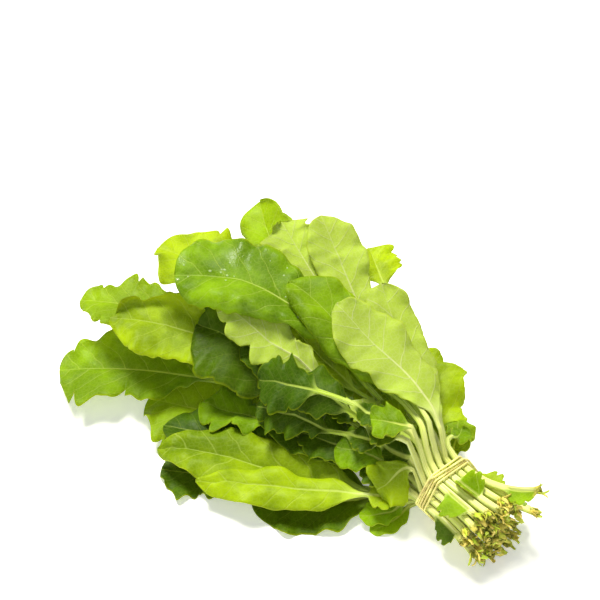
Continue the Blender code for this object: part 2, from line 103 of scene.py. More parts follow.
# Layout: band and the resting of the leaves on each other
STRAND_RADIUS = 0.5 * MM
STRAND_PITCH = 1.45 * MM
STRAND_ROUNDNESS = 3  # the more, the more corners the strand's outline has
BAND_TURNS = 4.5
BAND_SPREAD = 0.2  # how much further apart the strands run over the top than at the sides
BAND_GAP = 0.35 * MM
OVERPASS = 2 * STRAND_RADIUS + BAND_GAP
UNDER_STEMS = 2 * STRAND_RADIUS + BAND_GAP  # the band lifts the stems this far off the table
GAP = 0.35 * MM
CELL = 0.5 * MM
MAP_HALF = (0.30, 0.20)
SAMPLES = (44, 22)  # on each pair of facets, along the leaf and across
DRAPE = 0.5  # steepest slope that resting on others adds to a leaf
FIRST_SHARE = 0.3  # from here past the band a leaf is kept clear of the others

# Kinds of leaf, each with its own material
FRESH, YOUNG, PALE, DEEP = "fresh_leaf", "young_leaf", "pale_leaf", "deep_leaf"


@dataclass
class Leaf:
    """Sizes in millimetres and angles in degrees. Left is the side towards -Y."""

    reach: float  # from the band to the tip, along the table
    turn: float  # bearing of the tip from the band, off -X towards -Y
    tip: float  # height of the tip
    blade: float
    width: float
    widest: float = 0.68  # share of the blade's length, from its stem
    lead: float = None  # bearing of the stem as it leaves the band
    climb: float = 0  # how much steeper than its neighbours the stem leaves the band
    sway: float = 0  # how much further the tip points towards -Y than its bearing
    droop: float = 0  # how steeply the tip points down
    roll: float = 0  # turns the face towards -Y
    twist: float = 0  # roll added by the tip
    fold: float = 7  # how far each half rises from the midrib
    curl: tuple = (0, 0)  # how far the outer half of each side, left and right, turns up
    lobes: float = 0.1
    waves: float = 2.5
    ripple: float = 1.4
    leaflets: tuple = ()  # distance from the band and left and right reach of each pair
    over: bool = False  # lies with its underside up
    hang: float = -6  # slope of its leaflets on the cut ends' side of the band
    longer: float = 0  # how much further its cut end reaches
    splay: float = 0  # how far its cut end stands off towards +Y
    late: float = 0  # laid after those that turn up to this much more
    slot: str = FRESH


# Reach, turn, tip, blade and width of every leaf, and what else sets it apart.
# Bottom row first; within a row from -Y to +Y.
ROWS = (
    (
        Leaf(40, 68, 0, 26, 13, lead=54, widest=0.6),
        Leaf(147, 39, -2, 60, 36, lead=28, twist=-10, lobes=0.2, waves=4, slot=DEEP),
        Leaf(155, 4, -4, 85, 42),
        Leaf(105, -24, -4, 68, 38),
    ),
    (
        Leaf(44, 60, 0, 26, 12, lead=50, widest=0.6),
        Leaf(97, 47.5, -2, 66, 40, lead=38, twist=6, widest=0.55, slot=DEEP),
        Leaf(104, 12, 0, 66, 50, widest=0.55, slot=DEEP),
        Leaf(170, -4, 0, 88, 42),
        Leaf(122, -19, 0, 76, 48),
    ),
    (
        Leaf(
            150, 37, 6, 116, 36, lead=38, widest=0.56, roll=10, fold=22, curl=(0, -25), lobes=0.05,
            slot=YOUNG,
        ),
        Leaf(152, 31, 8, 76, 38, roll=6, widest=0.6, slot=DEEP),
        Leaf(170, 24.5, 6, 84, 50, lead=12, roll=8, droop=10, lobes=0.26, waves=3),
        Leaf(188, 2, 6, 92, 42, droop=6),
        Leaf(165, -12, 12, 90, 40),
        Leaf(92, -30, 12, 66, 36),
    ),
    (
        Leaf(
            125, 46.5, 8, 88, 23, lead=44, widest=0.52, roll=12, fold=8, curl=(0, -70), lobes=0.07,
            leaflets=((26, 8, 8),), slot=YOUNG,
        ),
        Leaf(104, 25.5, 8, 60, 22, roll=12, widest=0.5, slot=DEEP),
        Leaf(138, 24, 10, 50, 32, lobes=0.2, waves=3, leaflets=((66, 9, 8),)),
        Leaf(224, 25.6, 8, 92, 50, lead=4, widest=0.7, sway=18, droop=14, roll=6, lobes=0.26, waves=2.2),
        Leaf(190, 3, 32, 88, 42),
        Leaf(160, -15, 30, 88, 38, droop=4),
        Leaf(
            88, -33, 30, 70, 40, lead=-20, widest=0.6, roll=8, twist=-6, lobes=0.16, waves=2.2, slot=YOUNG,
        ),
    ),
    (
        Leaf(
            80, 24, 8, 38, 26, lead=20, roll=12, droop=10, lobes=0.2, leaflets=((-17, 9, 0), (30, 9, 8)),
            hang=-60, slot=DEEP,
        ),
        Leaf(58, 30, 8, 30, 20, lead=8, roll=14, droop=10),
        Leaf(154, 15, 20, 66, 50, lead=7, roll=26, droop=20, late=10, slot=DEEP),
        Leaf(200, 13.5, 26, 88, 40, roll=6, droop=14, late=-12, leaflets=((64, 8, 8),)),
        Leaf(228, 18, 34, 78, 38, widest=0.6, sway=18, droop=12, lobes=0.2, waves=3),
        Leaf(
            200, 20.5, 38, 88, 42, lead=4, widest=0.6, sway=18, roll=12, droop=12, curl=(0, 120),
            slot=YOUNG,
        ),
        Leaf(152, -12, 48, 80, 34, roll=-6),
        Leaf(40, -52, 14, 24, 18, lead=-38, leaflets=((-27, 0, 13),), hang=-40, longer=3),
    ),
    (
        Leaf(35, 54, 6, 25, 24, lead=42, climb=10, roll=35, droop=50, slot=YOUNG),
        Leaf(
            104, 25.5, 12, 44, 19, roll=15, lobes=0.3, waves=4, leaflets=((24, 8, 6), (42, 9, 7)),
            slot=DEEP,
        ),
        Leaf(
            126, 14.5, 24, 50, 24, roll=20, widest=0.6, lobes=0.2, waves=3, leaflets=((60, 9, 8),),
            slot=DEEP,
        ),
        Leaf(
            198, 9, 64, 84, 50, lead=0, widest=0.66, sway=20, lobes=0.16, waves=3,
            leaflets=((60, 9, 9), (84, 9, 9)), slot=YOUNG,
        ),
        Leaf(
            184, -9, 74, 70, 29, lead=2, widest=0.7, sway=-20, droop=-22, twist=25, fold=14, curl=(-60, 0),
            late=-1,
        ),
        Leaf(158, -8.5, 78, 64, 38, droop=-22, lobes=0.28, waves=5.5, over=True, slot=PALE),
        Leaf(
            144, -26, 56, 30, 28, lead=-18, widest=0.6, lobes=0.2, leaflets=((-14, 0, 9),), hang=8,
            slot=YOUNG,
        ),
    ),
    (
        Leaf(88, 18.5, 16, 36, 24, lead=16, droop=25, roll=15, fold=-20, leaflets=((30, 8, 8),), slot=DEEP),
        Leaf(
            106, 21.5, 18, 38, 26, widest=0.6, roll=25, droop=40, lobes=0.2, waves=3,
            leaflets=((42, 8, 7),), slot=DEEP,
        ),
        Leaf(
            144, 13, 36, 72, 23, widest=0.6, roll=18, droop=8, lobes=0.22, waves=4.5,
            leaflets=((30, 8, 7), (52, 9, 8)), over=True, slot=PALE,
        ),
        Leaf(
            124, 5, 34, 62, 18, lead=-2, widest=0.6, droop=10, roll=20, fold=25,
            leaflets=((24, 8, 7), (44, 9, 8)), slot=YOUNG,
        ),
        Leaf(151, -16, 80, 74, 30, droop=-25, lobes=0.05, over=True, slot=PALE),
        Leaf(108, -24, 42, 86, 31, lead=-18, widest=0.66, droop=-10, over=True, slot=PALE),
    ),
    (
        Leaf(41, 29, 16, 25, 19, lead=10, climb=5, roll=20, droop=25, leaflets=((-17, 12, 0),), hang=2),
        Leaf(
            172, 13.5, 68, 104, 52, widest=0.72, lead=-20, sway=34, roll=14, droop=10, fold=10,
            curl=(-120, -20), lobes=0.03, ripple=0.8, late=-8,
        ),
        Leaf(
            121, 0, 66, 94, 34, lead=-12, widest=0.66, sway=14, droop=4, roll=12, curl=(-80, 0), lobes=0.05,
            leaflets=((-14, 10, 9),), hang=50,
        ),
        Leaf(97, -6, 48, 87, 34, lead=-16, widest=0.62, sway=8, roll=12, lobes=0.08, over=True, slot=PALE),
        Leaf(34, -56, 12, 20, 15, lead=-40, roll=-10, leaflets=((-31.5, 8, 0),), hang=2, longer=3, splay=9),
    ),
)
ROW_CLIMB = (0, 0, 1, 3, 5, 7, 9, 11)  # degrees at which each row's stems leave the band
CORE_TURN = 4  # bearing of the leaves that are laid first in each row

# Finer form: sections and columns of points
BLADE_STEP = 1.2 * MM
STEM_STEP = 4 * MM
LEAFLET_STEP = 0.9 * MM
END_STEP, END_LENGTH = 0.5 * MM, 2 * MM  # sections close together at the cut end
TIP_CROWD = 1.5  # the more, the closer the sections stand to the tip
COLUMNS = 11  # on each side of the midrib
COLUMN_CROWD = 1.5  # the more, the closer they stand to the midrib
FINE_CORNER = 0.97
FINE_TIP = 0.03
FINE_CELL = 1 * MM
FINE_GAP = 0.1 * MM
FINE_SAMPLES = (2, 4)
LIFT_MOST = 3 * MM
LIFT_ROUNDS = 3  # how often the last small rise is evened out
COMPARED = 200  # points compared at a time, to save memory

# Finer form: margins, ruffles and veins
VEINS = 7.0  # side veins on each half of a blade
VEIN_SLANT, VEIN_CURVE = 0.85, 0.9
TEETH = 3.4  # large teeth along each margin
FINE_TEETH = 4.7  # small ones to each large one
FINE_DEPTH, RAGGED_DEPTH = 0.006, 0.02  # of the small ones, on any margin and added on a ragged one
SMOOTH_EDGE = 0.03  # lobes up to this size leave the edge between them whole
RAGGED_EDGE = 0.25  # from this size they have the deepest notches
RUFFLES = (15, 9.5, 23)  # lengths of the waves along a margin, in millimetres
SWELLS = ((1.6, 1.4), (2.6, -1.9))  # broad waves along a blade, and radians that each shifts across it
USUAL_WIDTH = 40  # in millimetres; ruffles are higher on wider leaves
LEAFLET_NOTCH = 4.6 * MM
LEAFLET_DEPTH = 0.7  # of its notches, as a share of a blade's

# Finer form: midrib, stem and cut end
RIB_SPREAD = 0.75
STEM_GROOVE, STEM_GROOVE_MOST, STEM_GROOVE_WIDTH = 0.3, 0.4 * MM, 0.3
RIB_GROOVE, RIB_GROOVE_WIDTH = 0.18 * MM, 0.9 * MM
RIB_LEAST, RIB_COLOURED = 0.35 * MM, 1.15  # the rib's colour reaches a little past its form
CUT_RAGGED, RAGGED_FADE, END_UNEVEN = 1.4 * MM, 0.8 * MM, 0.6
CUT_STAIN = 5 * MM
CRUSHED = 5 * MM  # a cut end is wider or flatter over this length
BAND_EASING = np.radians(np.linspace(-9, 9, 7))  # the band's corners are evened out over this
BAND_STRAY, STRAY_RATE = 0.2 * MM, 2.3
STRIP_PARTS = 5  # facets along a torn strip
STRIP_DEPTH, STRIP_OUT = 1.5 * MM, 0.8  # it starts this deep in its stem, at this share of the radius
DROP_LEAST, DROP_LONGEST, DROP_HEIGHT = 0.35, 1.5, 0.45  # shares of the largest radius and of its own
WET = (7, 1)  # row and column of the leaf that has drops on it
PAINTED_SHADE = {(2, 0): 0.3, (3, 3): 0.15, (4, 4): 0.12}  # painted shade: share of the deep colour laid over single leaves that lie in shade

# Table, lights and camera
TABLE_GAP = 0.2 * MM  # below the lowest leaves
LIGHTS = {  # how wide each looks in degrees, the way its light goes, and its colour
    "key_light": (24, (0.42, -0.1, -1.0), (1.0, 0.97, 0.84)),
    "fill_light": (60, (-0.6, 0.7, -0.7), (1.0, 1.0, 1.0)),
}
SKY_COLOUR = (0.93, 0.97, 1, 1)
CAMERA_TURN, CAMERA_RISE = 50, 42  # degrees round from the front and above the table
CAMERA_PLACE = (0.3037, -0.3496, 0.5552)  # before the bunch is shifted to the middle
CAMERA_LENS, CAMERA_CLIP = (85, 36), (0.05, 50)


def smooth(x):
    """0 below 0, 1 above 1, and an even ramp between."""
    x = np.clip(x, 0, 1)
    return x * x * (3 - 2 * x)


def hump(x):
    """A rounded rise of 1 at 0 that falls away on both sides."""
    return np.exp(-(x**2))


def lift(rise, *faces):
    """Raises the points of a leaf's faces."""
    for face in faces:
        face[..., 2] += rise


def band_place(row, column):
    """Where a stem passes the band: its place across the bunch and its height."""
    across = (column - (len(ROWS[row]) - 1) / 2) * STEM_PITCH
    return across, UNDER_STEMS + STEM_RADIUS + row * ROW_PITCH


def heading(bearing, pitch):
    """Unit vector that leads from the band towards the leaves."""
    bearing, pitch = math.radians(bearing), math.radians(pitch)
    level = math.cos(pitch)
    return np.array([-math.cos(bearing) * level, -math.sin(bearing) * level, math.sin(pitch)])


def along(points):
    """Distance of each point from the first one, along the line."""
    steps = np.linalg.norm(np.diff(points, axis=0), axis=1)
    return np.concatenate([[0], np.cumsum(steps)])


def cut_length(leaf, row, column):
    """Distance from the band's middle to the leaf's cut end."""
    draw = np.random.default_rng((SEED, row, column))
    return CUT_LENGTH + leaf.longer * MM + draw.uniform(-CUT_UNEVEN, CUT_UNEVEN)


def midrib(leaf, row, column):
    """Points close together from the cut end to the tip."""
    across, height = band_place(row, column)
    past_band = cut_length(leaf, row, column) - BAND_HALF_WIDTH
    share = np.linspace(1, 0, CUT_POINTS)[:, None]
    away = share * past_band / (CUT_LENGTH - BAND_HALF_WIDTH)
    flare = CUT_FLARE * away**2
    splay = leaf.splay * MM * share**2
    sink = UNDER_STEMS * np.minimum(away, 1) ** 2
    cut_part = np.concatenate(
        [
            BAND_HALF_WIDTH + share * past_band,
            across * (1 + flare) + splay,
            height * (1 + flare * CUT_RISE) + splay * SPLAY_RISE - sink,
        ],
        axis=1,
    )
    start = np.array([-BAND_HALF_WIDTH, across, height])
    bearing = math.radians(leaf.turn)
    tip = np.array(
        [-leaf.reach * MM * math.cos(bearing), -leaf.reach * MM * math.sin(bearing), leaf.tip * MM]
    )
    pull = np.linalg.norm(tip - start) / 3
    lead = leaf.turn * LEAD if leaf.lead is None else leaf.lead
    first = start + heading(lead, ROW_CLIMB[row] + leaf.climb) * pull
    last = tip - heading(leaf.turn + leaf.sway, -leaf.droop) * pull
    t = np.linspace(0, 1, CURVE_POINTS)[:, None]
    curve = (
        (1 - t) ** 3 * start + 3 * (1 - t) ** 2 * t * first + 3 * (1 - t) * t**2 * last + t**3 * tip
    )
    past = along(curve)[:, None]
    straight = start - np.array([1, 0, 0]) * past
    curve = straight + (curve - straight) * smooth(past / EASE)
    return np.concatenate([cut_part, curve])


def stations(leaf, cut, length):
    """Distances from the cut end at which the solid leaf has a section."""
    blade = leaf.blade * MM
    base = length - blade
    shares = SMALL_BLADE_STATIONS if blade < SMALL_BLADE else BLADE_STATIONS
    places = [0, cut - BAND_HALF_WIDTH, cut + BAND_HALF_WIDTH]
    if base > cut + EASE + BAND_HALF_WIDTH:
        places.append(cut + EASE)
    for distance, _, _ in leaf.leaflets:
        places += [cut + distance * MM + LEAFLET_HALF * share for share in LEAFLET_STATIONS]
    places = sorted(places)
    count = max(1, math.ceil((base - places[-1]) / STEM_STATION))
    places += list(np.linspace(places[-1], base, count + 1)[1:-1])
    return np.array(places + [base + blade * share for share in shares])


def half_width(leaf, s, side, phase, tip_width):
    """Half width of the blade at share s of its length, on its left (-1) or right (1)."""
    widest = leaf.widest
    outline = (s / widest) ** (OUTLINE * widest) * ((1 - s) / (1 - widest)) ** (OUTLINE * (1 - widest))
    outline = np.maximum(outline, tip_width * (s > widest))
    turns = 2 * math.pi * leaf.waves * s + phase + side
    lobes = 1 + leaf.lobes * sum(size * np.sin(rate * turns) for size, rate in LOBE_MIX)
    return leaf.width * MM / 2 * outline * lobes


def leaflet_width(leaf, past, side):
    """How far the leaflets reach out from the stem at each distance past the band, left (-1) or right (1)."""
    reach = np.zeros_like(past)
    for distance, left, right in leaf.leaflets:
        most = (left if side < 0 else right) * MM
        away = np.abs(past - distance * MM) / LEAFLET_HALF
        reach = np.maximum(reach, most * np.sqrt(np.clip(1 - away**2, 0, 1)))
    return reach


def frames(points, line, places, roll):
    """Midrib point, left and up directions at each place, the last two turned by roll."""
    behind, centre, ahead = (
        np.stack([np.interp(places + step, line, points[:, k]) for k in range(3)], axis=1)
        for step in (-TANGENT_STEP, 0, TANGENT_STEP)
    )
    tangent = ahead - behind
    tangent /= np.linalg.norm(tangent, axis=1, keepdims=True)
    up = np.array([0, 0, 1]) - tangent * tangent[:, 2:]
    up /= np.linalg.norm(up, axis=1, keepdims=True)
    left = np.cross(up, tangent)
    c, s = np.cos(roll)[:, None], np.sin(roll)[:, None]
    return centre, left * c - up * s, up * c + left * s


class Edges:
    """What the finer leaf adds to the solid one: uneven margins, ruffles and quilting between veins."""

    def __init__(self, leaf, row, column, look):
        self.leaf, self.look = leaf, look
        self.draw = np.random.default_rng((SEED, row, column, 1))
        self.tint = self.draw.uniform()
        self.size = leaf.width / USUAL_WIDTH
        self.notches = {side: self.draw.uniform(0, 1, 9) for side in (-1, 1)}
        self.cuts = {side: self.draw.uniform(0.6, 1.6) for side in (-1, 1)}
        self.shift = {side: self.draw.uniform() for side in (-1, 1)}
        self.turns = self.draw.uniform(0, 2 * math.pi, (8, 2))
        self.rates = self.draw.uniform(0.8, 1.25, 8)
        self.end = self.draw.uniform(-1, 1, (2 * COLUMNS + 1, 2))
        self.slant = self.draw.uniform(-1, 1)
        self.crush = self.draw.uniform(-0.3, 0.3)
        self.lean = self.draw.uniform(-0.5, 0.5)

    def outline(self, s, side):
        """Share of the width left by rounded teeth with sharp notches between them."""
        teeth = self.cuts[side] * TEETH * s + self.shift[side]
        ragged = smooth((self.leaf.lobes - SMOOTH_EDGE) / (RAGGED_EDGE - SMOOTH_EDGE))
        deep = self.notches[side][np.floor(teeth).astype(int) % 9] * self.look.teeth * ragged
        far = np.abs(teeth % 1 - 0.5) * 2
        fine = np.abs(np.sin(math.pi * (FINE_TEETH * teeth + self.shift[side])))
        return 1 - deep * far**5 * smooth(s * 4) + (FINE_DEPTH + RAGGED_DEPTH * ragged) * fine

    def leaflet(self, past, side):
        """Share of a leaflet's reach that its notches leave."""
        notch = np.abs(np.sin(math.pi * past / LEAFLET_NOTCH + self.turns[5, int(side > 0)])) ** 6
        return 1 - self.look.teeth * LEAFLET_DEPTH * notch

    def rise(self, s, t, w, over):
        """How far the blade's middle surface stands up from the solid's at each share along and across."""
        side = int(t >= 0)
        blade = self.leaf.blade * MM
        margin = abs(t) ** 2.5
        ruffle = sum(
            np.sin(2 * math.pi * self.leaf.blade / length * self.rates[n] * s + self.turns[n, side])
            for n, length in enumerate(RUFFLES)
        )
        swell = sum(
            np.sin(2 * math.pi * self.rates[n] * count * s + shift * t + self.turns[n, 0])
            for n, (count, shift) in enumerate(SWELLS, len(RUFFLES))
        )
        start = s - VEIN_SLANT * w / blade - VEIN_CURVE * (w / blade) ** 2
        phase = start * VEINS + 0.5 * side
        quilt = (0.5 + 0.5 * np.cos(2 * math.pi * phase)) * smooth(abs(t) * 5) * (1 - abs(t) ** 4)
        sign = -1 if over else 1
        height = (
            self.look.ruffle * self.size * margin * ruffle
            + self.look.swell * self.size * swell * abs(t)
            + sign * self.look.quilting * self.size * quilt
        )
        return height * smooth(s * 5)

    def midrib_form(self, t, w, radius, rib, flat, spread):
        """Thickness down to the lower face, and the depth of the channel in the upper one."""
        ridge = flat + (rib - flat) * hump(w / (RIB_SPREAD * rib))
        on_stem = np.minimum(STEM_GROOVE * radius, STEM_GROOVE_MOST) * hump(t / STEM_GROOVE_WIDTH)
        on_blade = RIB_GROOVE * hump(w / RIB_GROOVE_WIDTH)
        return ridge, on_stem * (1 - spread) + on_blade * spread

    def cut_end(self, number, t, places, middle, aside, up):
        """Moves a line of points to make the cut end ragged and crushed, and tells how thick it is there."""
        near = hump(places / CRUSHED)
        ragged = (self.end[number, 0] * END_UNEVEN + self.slant * t) * np.exp(-places / RAGGED_FADE)
        middle = middle + np.array([1, 0, 0]) * (ragged * CUT_RAGGED)[:, None]
        middle = middle + (aside * self.crush + up * self.lean * MM) * near[:, None]
        return middle, 1 + self.crush * near


def to_read(t, w, places, base, blade, spread, rib):
    """What the materials read on one line of points along the leaf."""
    from_rib = w / (RIB_COLOURED * np.maximum(rib, RIB_LEAST))
    return {
        "share": (places - base) / blade,
        "across": np.sign(t) * w / blade,
        "blade": spread,
        "from_rib": np.where(spread > 0.02, from_rib, abs(t)),
        "margin": abs(t) * spread,
        "cut": np.clip(1 - places / CUT_STAIN, 0, 1),
        "stem": places,
    }


def skin(leaf, row, column, places, section, edges=None):
    """Top and bottom points of the leaf, by place along it and across, before it is laid on the others.

    With edges it is the finer form, and the third part tells what the materials read at each point.
    """
    points = midrib(leaf, row, column)
    line = along(points)
    past = places - cut_length(leaf, row, column)
    blade = leaf.blade * MM
    base = line[-1] - blade
    s = np.clip((places - base) / blade, 0, 1)
    phase = TURN_BY_COLUMN * column + TURN_BY_ROW * row
    rolled = smooth(((places - base) / blade + ROLL_START) * 2)
    roll = np.radians(leaf.roll * rolled + leaf.twist * s)
    centre, left, up = frames(points, line, places, roll)
    radius = STEM_RADIUS * (1 - STEM_TAPER * smooth(past / (past + base - places)))
    thickness = edges.look.thickness if edges else BLADE_THICKNESS
    rib = np.maximum(radius * (1 - RIB_TAPER * s), thickness / 2)
    flat = np.full_like(rib, thickness / 2)
    round_end = FINE_CORNER if edges else STEM_CORNER
    sides, read = [], []
    for number, t in enumerate(section):
        side = -1 if t < 0 else 1
        leaflet = leaflet_width(leaf, past, side)
        if edges:
            leaflet = leaflet * edges.leaflet(past, side)
        spread = np.maximum(smooth(s / BLADE_START), smooth(leaflet / LEAFLET_EDGE))
        if edges:
            half = half_width(leaf, s, side, phase, FINE_TIP) * edges.outline(s, side)
        else:
            half = half_width(leaf, s, side, phase, TIP_WIDTH)
        wide = np.maximum(half, radius * (1 - s * bool(edges)) + leaflet)
        start = np.radians(np.where(s > 0, leaf.fold, np.where(past > 0, LEAFLET_RISE, leaf.hang)))
        bend = math.radians(leaf.curl[side > 0]) / (1 - CURL_FROM) * smooth(s / CURL_START) + STRAIGHT
        lean = start + bend * max(abs(t) - CURL_FROM, 0)
        x = wide * (min(abs(t), CURL_FROM) * np.cos(start) + (np.sin(lean) - np.sin(start)) / bend)
        y = wide * (min(abs(t), CURL_FROM) * np.sin(start) + (np.cos(start) - np.cos(lean)) / bend)
        wave = np.sin(2 * math.pi * WAVE_RATE * leaf.waves * s + 2 * phase + 2 * side)
        y = y + leaf.ripple * MM * t * t * wave * (s > 0)
        corner = math.pi / 2 * (1 - round_end * abs(t))
        x = radius * math.cos(corner) * (1 - spread) + x * spread if t else 0 * x
        w = wide * abs(t)
        if edges:
            y = y + edges.rise(s, t, w, leaf.over)
        y = y * spread
        lean = lean * spread * (t != 0)
        middle = centre - left * (side * x)[:, None] + up * y[:, None]
        normal = up * np.cos(lean)[:, None] + left * (side * np.sin(lean))[:, None]
        round_height = radius * math.sin(corner)
        ridge, groove = flat if t else rib, 0
        if edges:
            ridge, groove = edges.midrib_form(t, w, radius, rib, flat, spread)
        face = round_height * (1 - spread) + flat * spread - groove
        back = round_height * (1 - spread) + ridge * spread
        if leaf.over:
            face, back = back, face
        if edges:
            aside = left * (side * x)[:, None]
            middle, thicker = edges.cut_end(number, t, places, middle, aside, up)
            face, back = face * thicker, back * thicker
            read.append(to_read(t, w, places, base, blade, spread, rib))
        sides.append((middle + normal * face[:, None], middle - normal * back[:, None]))
    top, bottom = (np.stack(points, axis=1) for points in zip(*sides))
    if not edges:
        return top, bottom
    return top, bottom, {key: np.stack([column[key] for column in read], axis=1) for key in read[0]}


def rings(top, bottom):
    """One closed ring of points for each section."""
    return np.concatenate([top, bottom[:, ::-1]], axis=1)


class Pile:
    """Height of what already lies on the table, on a square grid."""

    def __init__(self, cell=CELL, gap=GAP):
        self.cell, self.gap = cell, gap
        self.height = np.full([int(2 * half / cell) for half in MAP_HALF], -gap)

    def cells(self, points):
        """Which cell of the grid each point lies in."""
        i = ((points[..., 0] + MAP_HALF[0]) / self.cell).astype(int)
        j = ((points[..., 1] + MAP_HALF[1]) / self.cell).astype(int)
        return i, j

    def needed(self, points):
        """How much each point has to rise to lie clear of what is below it."""
        return self.height[self.cells(points)] + self.gap - points[..., 2]

    def add(self, points):
        """Lays these points on the pile."""
        np.maximum.at(self.height, self.cells(points), points[..., 2])


def surface_points(skin_rings, samples):
    """Points spread over every facet: an array by section, strip, and share along and across it."""
    a, b = skin_rings[:-1], skin_rings[1:]
    a_next, b_next = np.roll(a, -1, axis=1), np.roll(b, -1, axis=1)
    u, v = np.meshgrid(np.linspace(0, 1, samples[0]), np.linspace(0, 1, samples[1]), indexing="ij")
    u, v = u[None, None, :, :, None], v[None, None, :, :, None]
    a, b, a_next, b_next = (p[:, :, None, None, :] for p in (a, b, a_next, b_next))
    one_way = np.where(
        u >= v, a + (b - a) * u + (b_next - b) * v, a + (a_next - a) * v + (b_next - a_next) * u
    )
    other_way = np.where(
        u + v <= 1,
        a + (b - a) * u + (a_next - a) * v,
        b_next + (a_next - b_next) * (1 - u) + (b - b_next) * (1 - v),
    )
    half = skin_rings.shape[1] // 2
    return np.concatenate([one_way[:, :half], other_way[:, half:]], axis=1)


def press(top, bottom, least):
    """Flattens onto the table what would reach below it."""
    thickness = np.maximum(top[..., 2] - bottom[..., 2], least)
    bottom[..., 2] = np.maximum(bottom[..., 2], 0)
    top[..., 2] = np.maximum(top[..., 2], bottom[..., 2] + thickness)


def rise_over(top, bottom, free, pile):
    """How much each point rises for the leaf to lie clear of the pile. The sections that aren't free stay."""
    count, across = top.shape[:2]
    need = np.maximum(pile.needed(surface_points(rings(top, bottom), SAMPLES)), 0)
    share = np.linspace(0, 1, SAMPLES[0])[:, None]
    first = np.argmax(free) - 1
    need[:first] = 0
    need[first] *= (share > FIRST_SHARE) / np.maximum(share, FIRST_SHARE)
    need = need.max(axis=(2, 3))
    rise = np.zeros((count, across))
    for k in range(2 * across):
        for corner in (k, (k + 1) % (2 * across)):
            end = min(corner, 2 * across - 1 - corner)
            rise[:-1, end] = np.maximum(rise[:-1, end], need[:, k])
            rise[1:, end] = np.maximum(rise[1:, end], need[:, k])
    plan = top[..., :2]
    apart = np.linalg.norm(plan[:, :, None, None] - plan[None, None], axis=-1)
    return (rise[None, None] - DRAPE * apart).max(axis=(2, 3)) * free[:, None]


def laying_order():
    """Row and column of every leaf, in the order in which they are laid."""
    for row, leaves in enumerate(ROWS):
        order = sorted(range(len(leaves)), key=lambda k: abs(leaves[k].turn - CORE_TURN) + leaves[k].late)
        for column in order:
            yield row, column


@cache
def lay_solids():
    """How each solid leaf lies, by row and column: its stations and rises. Then the shift to the middle."""
    pile = Pile()
    laid, low, high = {}, np.full(3, 9.0), np.full(3, -9.0)
    for row, column in laying_order():
        leaf = ROWS[row][column]
        cut = cut_length(leaf, row, column)
        places = stations(leaf, cut, along(midrib(leaf, row, column))[-1])
        top, bottom = skin(leaf, row, column, places, SECTION)
        press(top, bottom, BLADE_THICKNESS)
        rise = rise_over(top, bottom, places > cut + BAND_HALF_WIDTH, pile)
        lift(rise, top, bottom)
        skin_rings = rings(top, bottom)
        pile.add(surface_points(skin_rings, SAMPLES))
        laid[row, column] = places, rise
        low = np.minimum(low, skin_rings.min(axis=(0, 1)))
        high = np.maximum(high, skin_rings.max(axis=(0, 1)))
    return laid, (low + high) / 2 * (1, 1, 0)


def fine_places(leaf, cut, length):
    """Distances from the cut end of the finer leaf's sections."""
    blade = leaf.blade * MM
    base = length - blade
    stem = list(np.arange(0, END_LENGTH, END_STEP)) + list(np.arange(END_LENGTH, base, STEM_STEP))
    for distance, _, _ in leaf.leaflets:
        middle = cut + distance * MM
        stem = [p for p in stem if abs(p - middle) > LEAFLET_HALF + LEAFLET_STEP]
        stem += list(np.arange(middle - LEAFLET_HALF, middle + LEAFLET_HALF, LEAFLET_STEP))
    count = math.ceil(blade * TIP_CROWD / BLADE_STEP)
    share = 1 - (1 - np.linspace(0, 1, count + 1)) ** TIP_CROWD
    return np.array(sorted(p for p in stem if p < base - LEAFLET_STEP) + list(base + blade * share))


def fine_section():
    """Places across the finer leaf, from its left edge to its right."""
    q = np.linspace(-1, 1, 2 * COLUMNS + 1)
    return np.sign(q) * np.abs(q) ** COLUMN_CROWD


def carried(places, solid_places, rise, section):
    """The solid leaf's rise at the finer leaf's sections."""
    lines = np.stack([np.interp(places, solid_places, rise[:, k]) for k in range(len(SECTION))])
    return np.stack([np.interp(section, SECTION, lines[:, i]) for i in range(len(places))])


def settle(bottom, past, pile):
    """A last small rise where the finer form would sink into what is below, evened out."""
    need = np.clip(pile.needed(bottom), 0, LIFT_MOST)
    need *= smooth((past - BAND_HALF_WIDTH) / EASE)[:, None]
    i, j = np.nonzero(need > 0)
    if not len(i):
        return 0 * need
    plan = bottom[..., :2]
    rise = np.zeros_like(need)
    for k in range(0, len(i), COMPARED):
        some = i[k : k + COMPARED], j[k : k + COMPARED]
        apart = np.linalg.norm(plan[:, :, None] - plan[some][None, None], axis=-1)
        rise = np.maximum(rise, (need[some] - DRAPE * apart).max(axis=2))
    for _ in range(LIFT_ROUNDS):
        padded = np.pad(rise, 1, mode="edge")
        rise = (rise * 2 + padded[:-2, 1:-1] + padded[2:, 1:-1] + padded[1:-1, :-2] + padded[1:-1, 2:]) / 6
    return rise


def lay_fine(look):
    """Yields name, leaf, top, bottom and what the materials read, for every leafy stem."""
    laid, shift = lay_solids()
    pile = Pile(FINE_CELL, FINE_GAP)
    section = fine_section()
    for row, column in laying_order():
        leaf = ROWS[row][column]
        edges = Edges(leaf, row, column, look)
        cut = cut_length(leaf, row, column)
        places = fine_places(leaf, cut, along(midrib(leaf, row, column))[-1])
        top, bottom, read = skin(leaf, row, column, places, section, edges)
        press(top, bottom, look.thickness)
        rise = carried(places, *laid[row, column], section)
        lift(rise, top, bottom)
        rise = settle(bottom, places - cut, pile)
        lift(rise, top, bottom)
        pile.add(surface_points(rings(top, bottom), FINE_SAMPLES))
        read["tint"] = np.full_like(read["blade"], edges.tint)
        read["wet"] = np.full_like(read["blade"], (row, column) == WET)
        # Painted shade: how far this leaf is darkened towards the deep colour
        read["darker"] = np.full_like(read["blade"], PAINTED_SHADE.get((row, column), 0))
        yield f"{row}_{column}", leaf, top - shift, bottom - shift, read


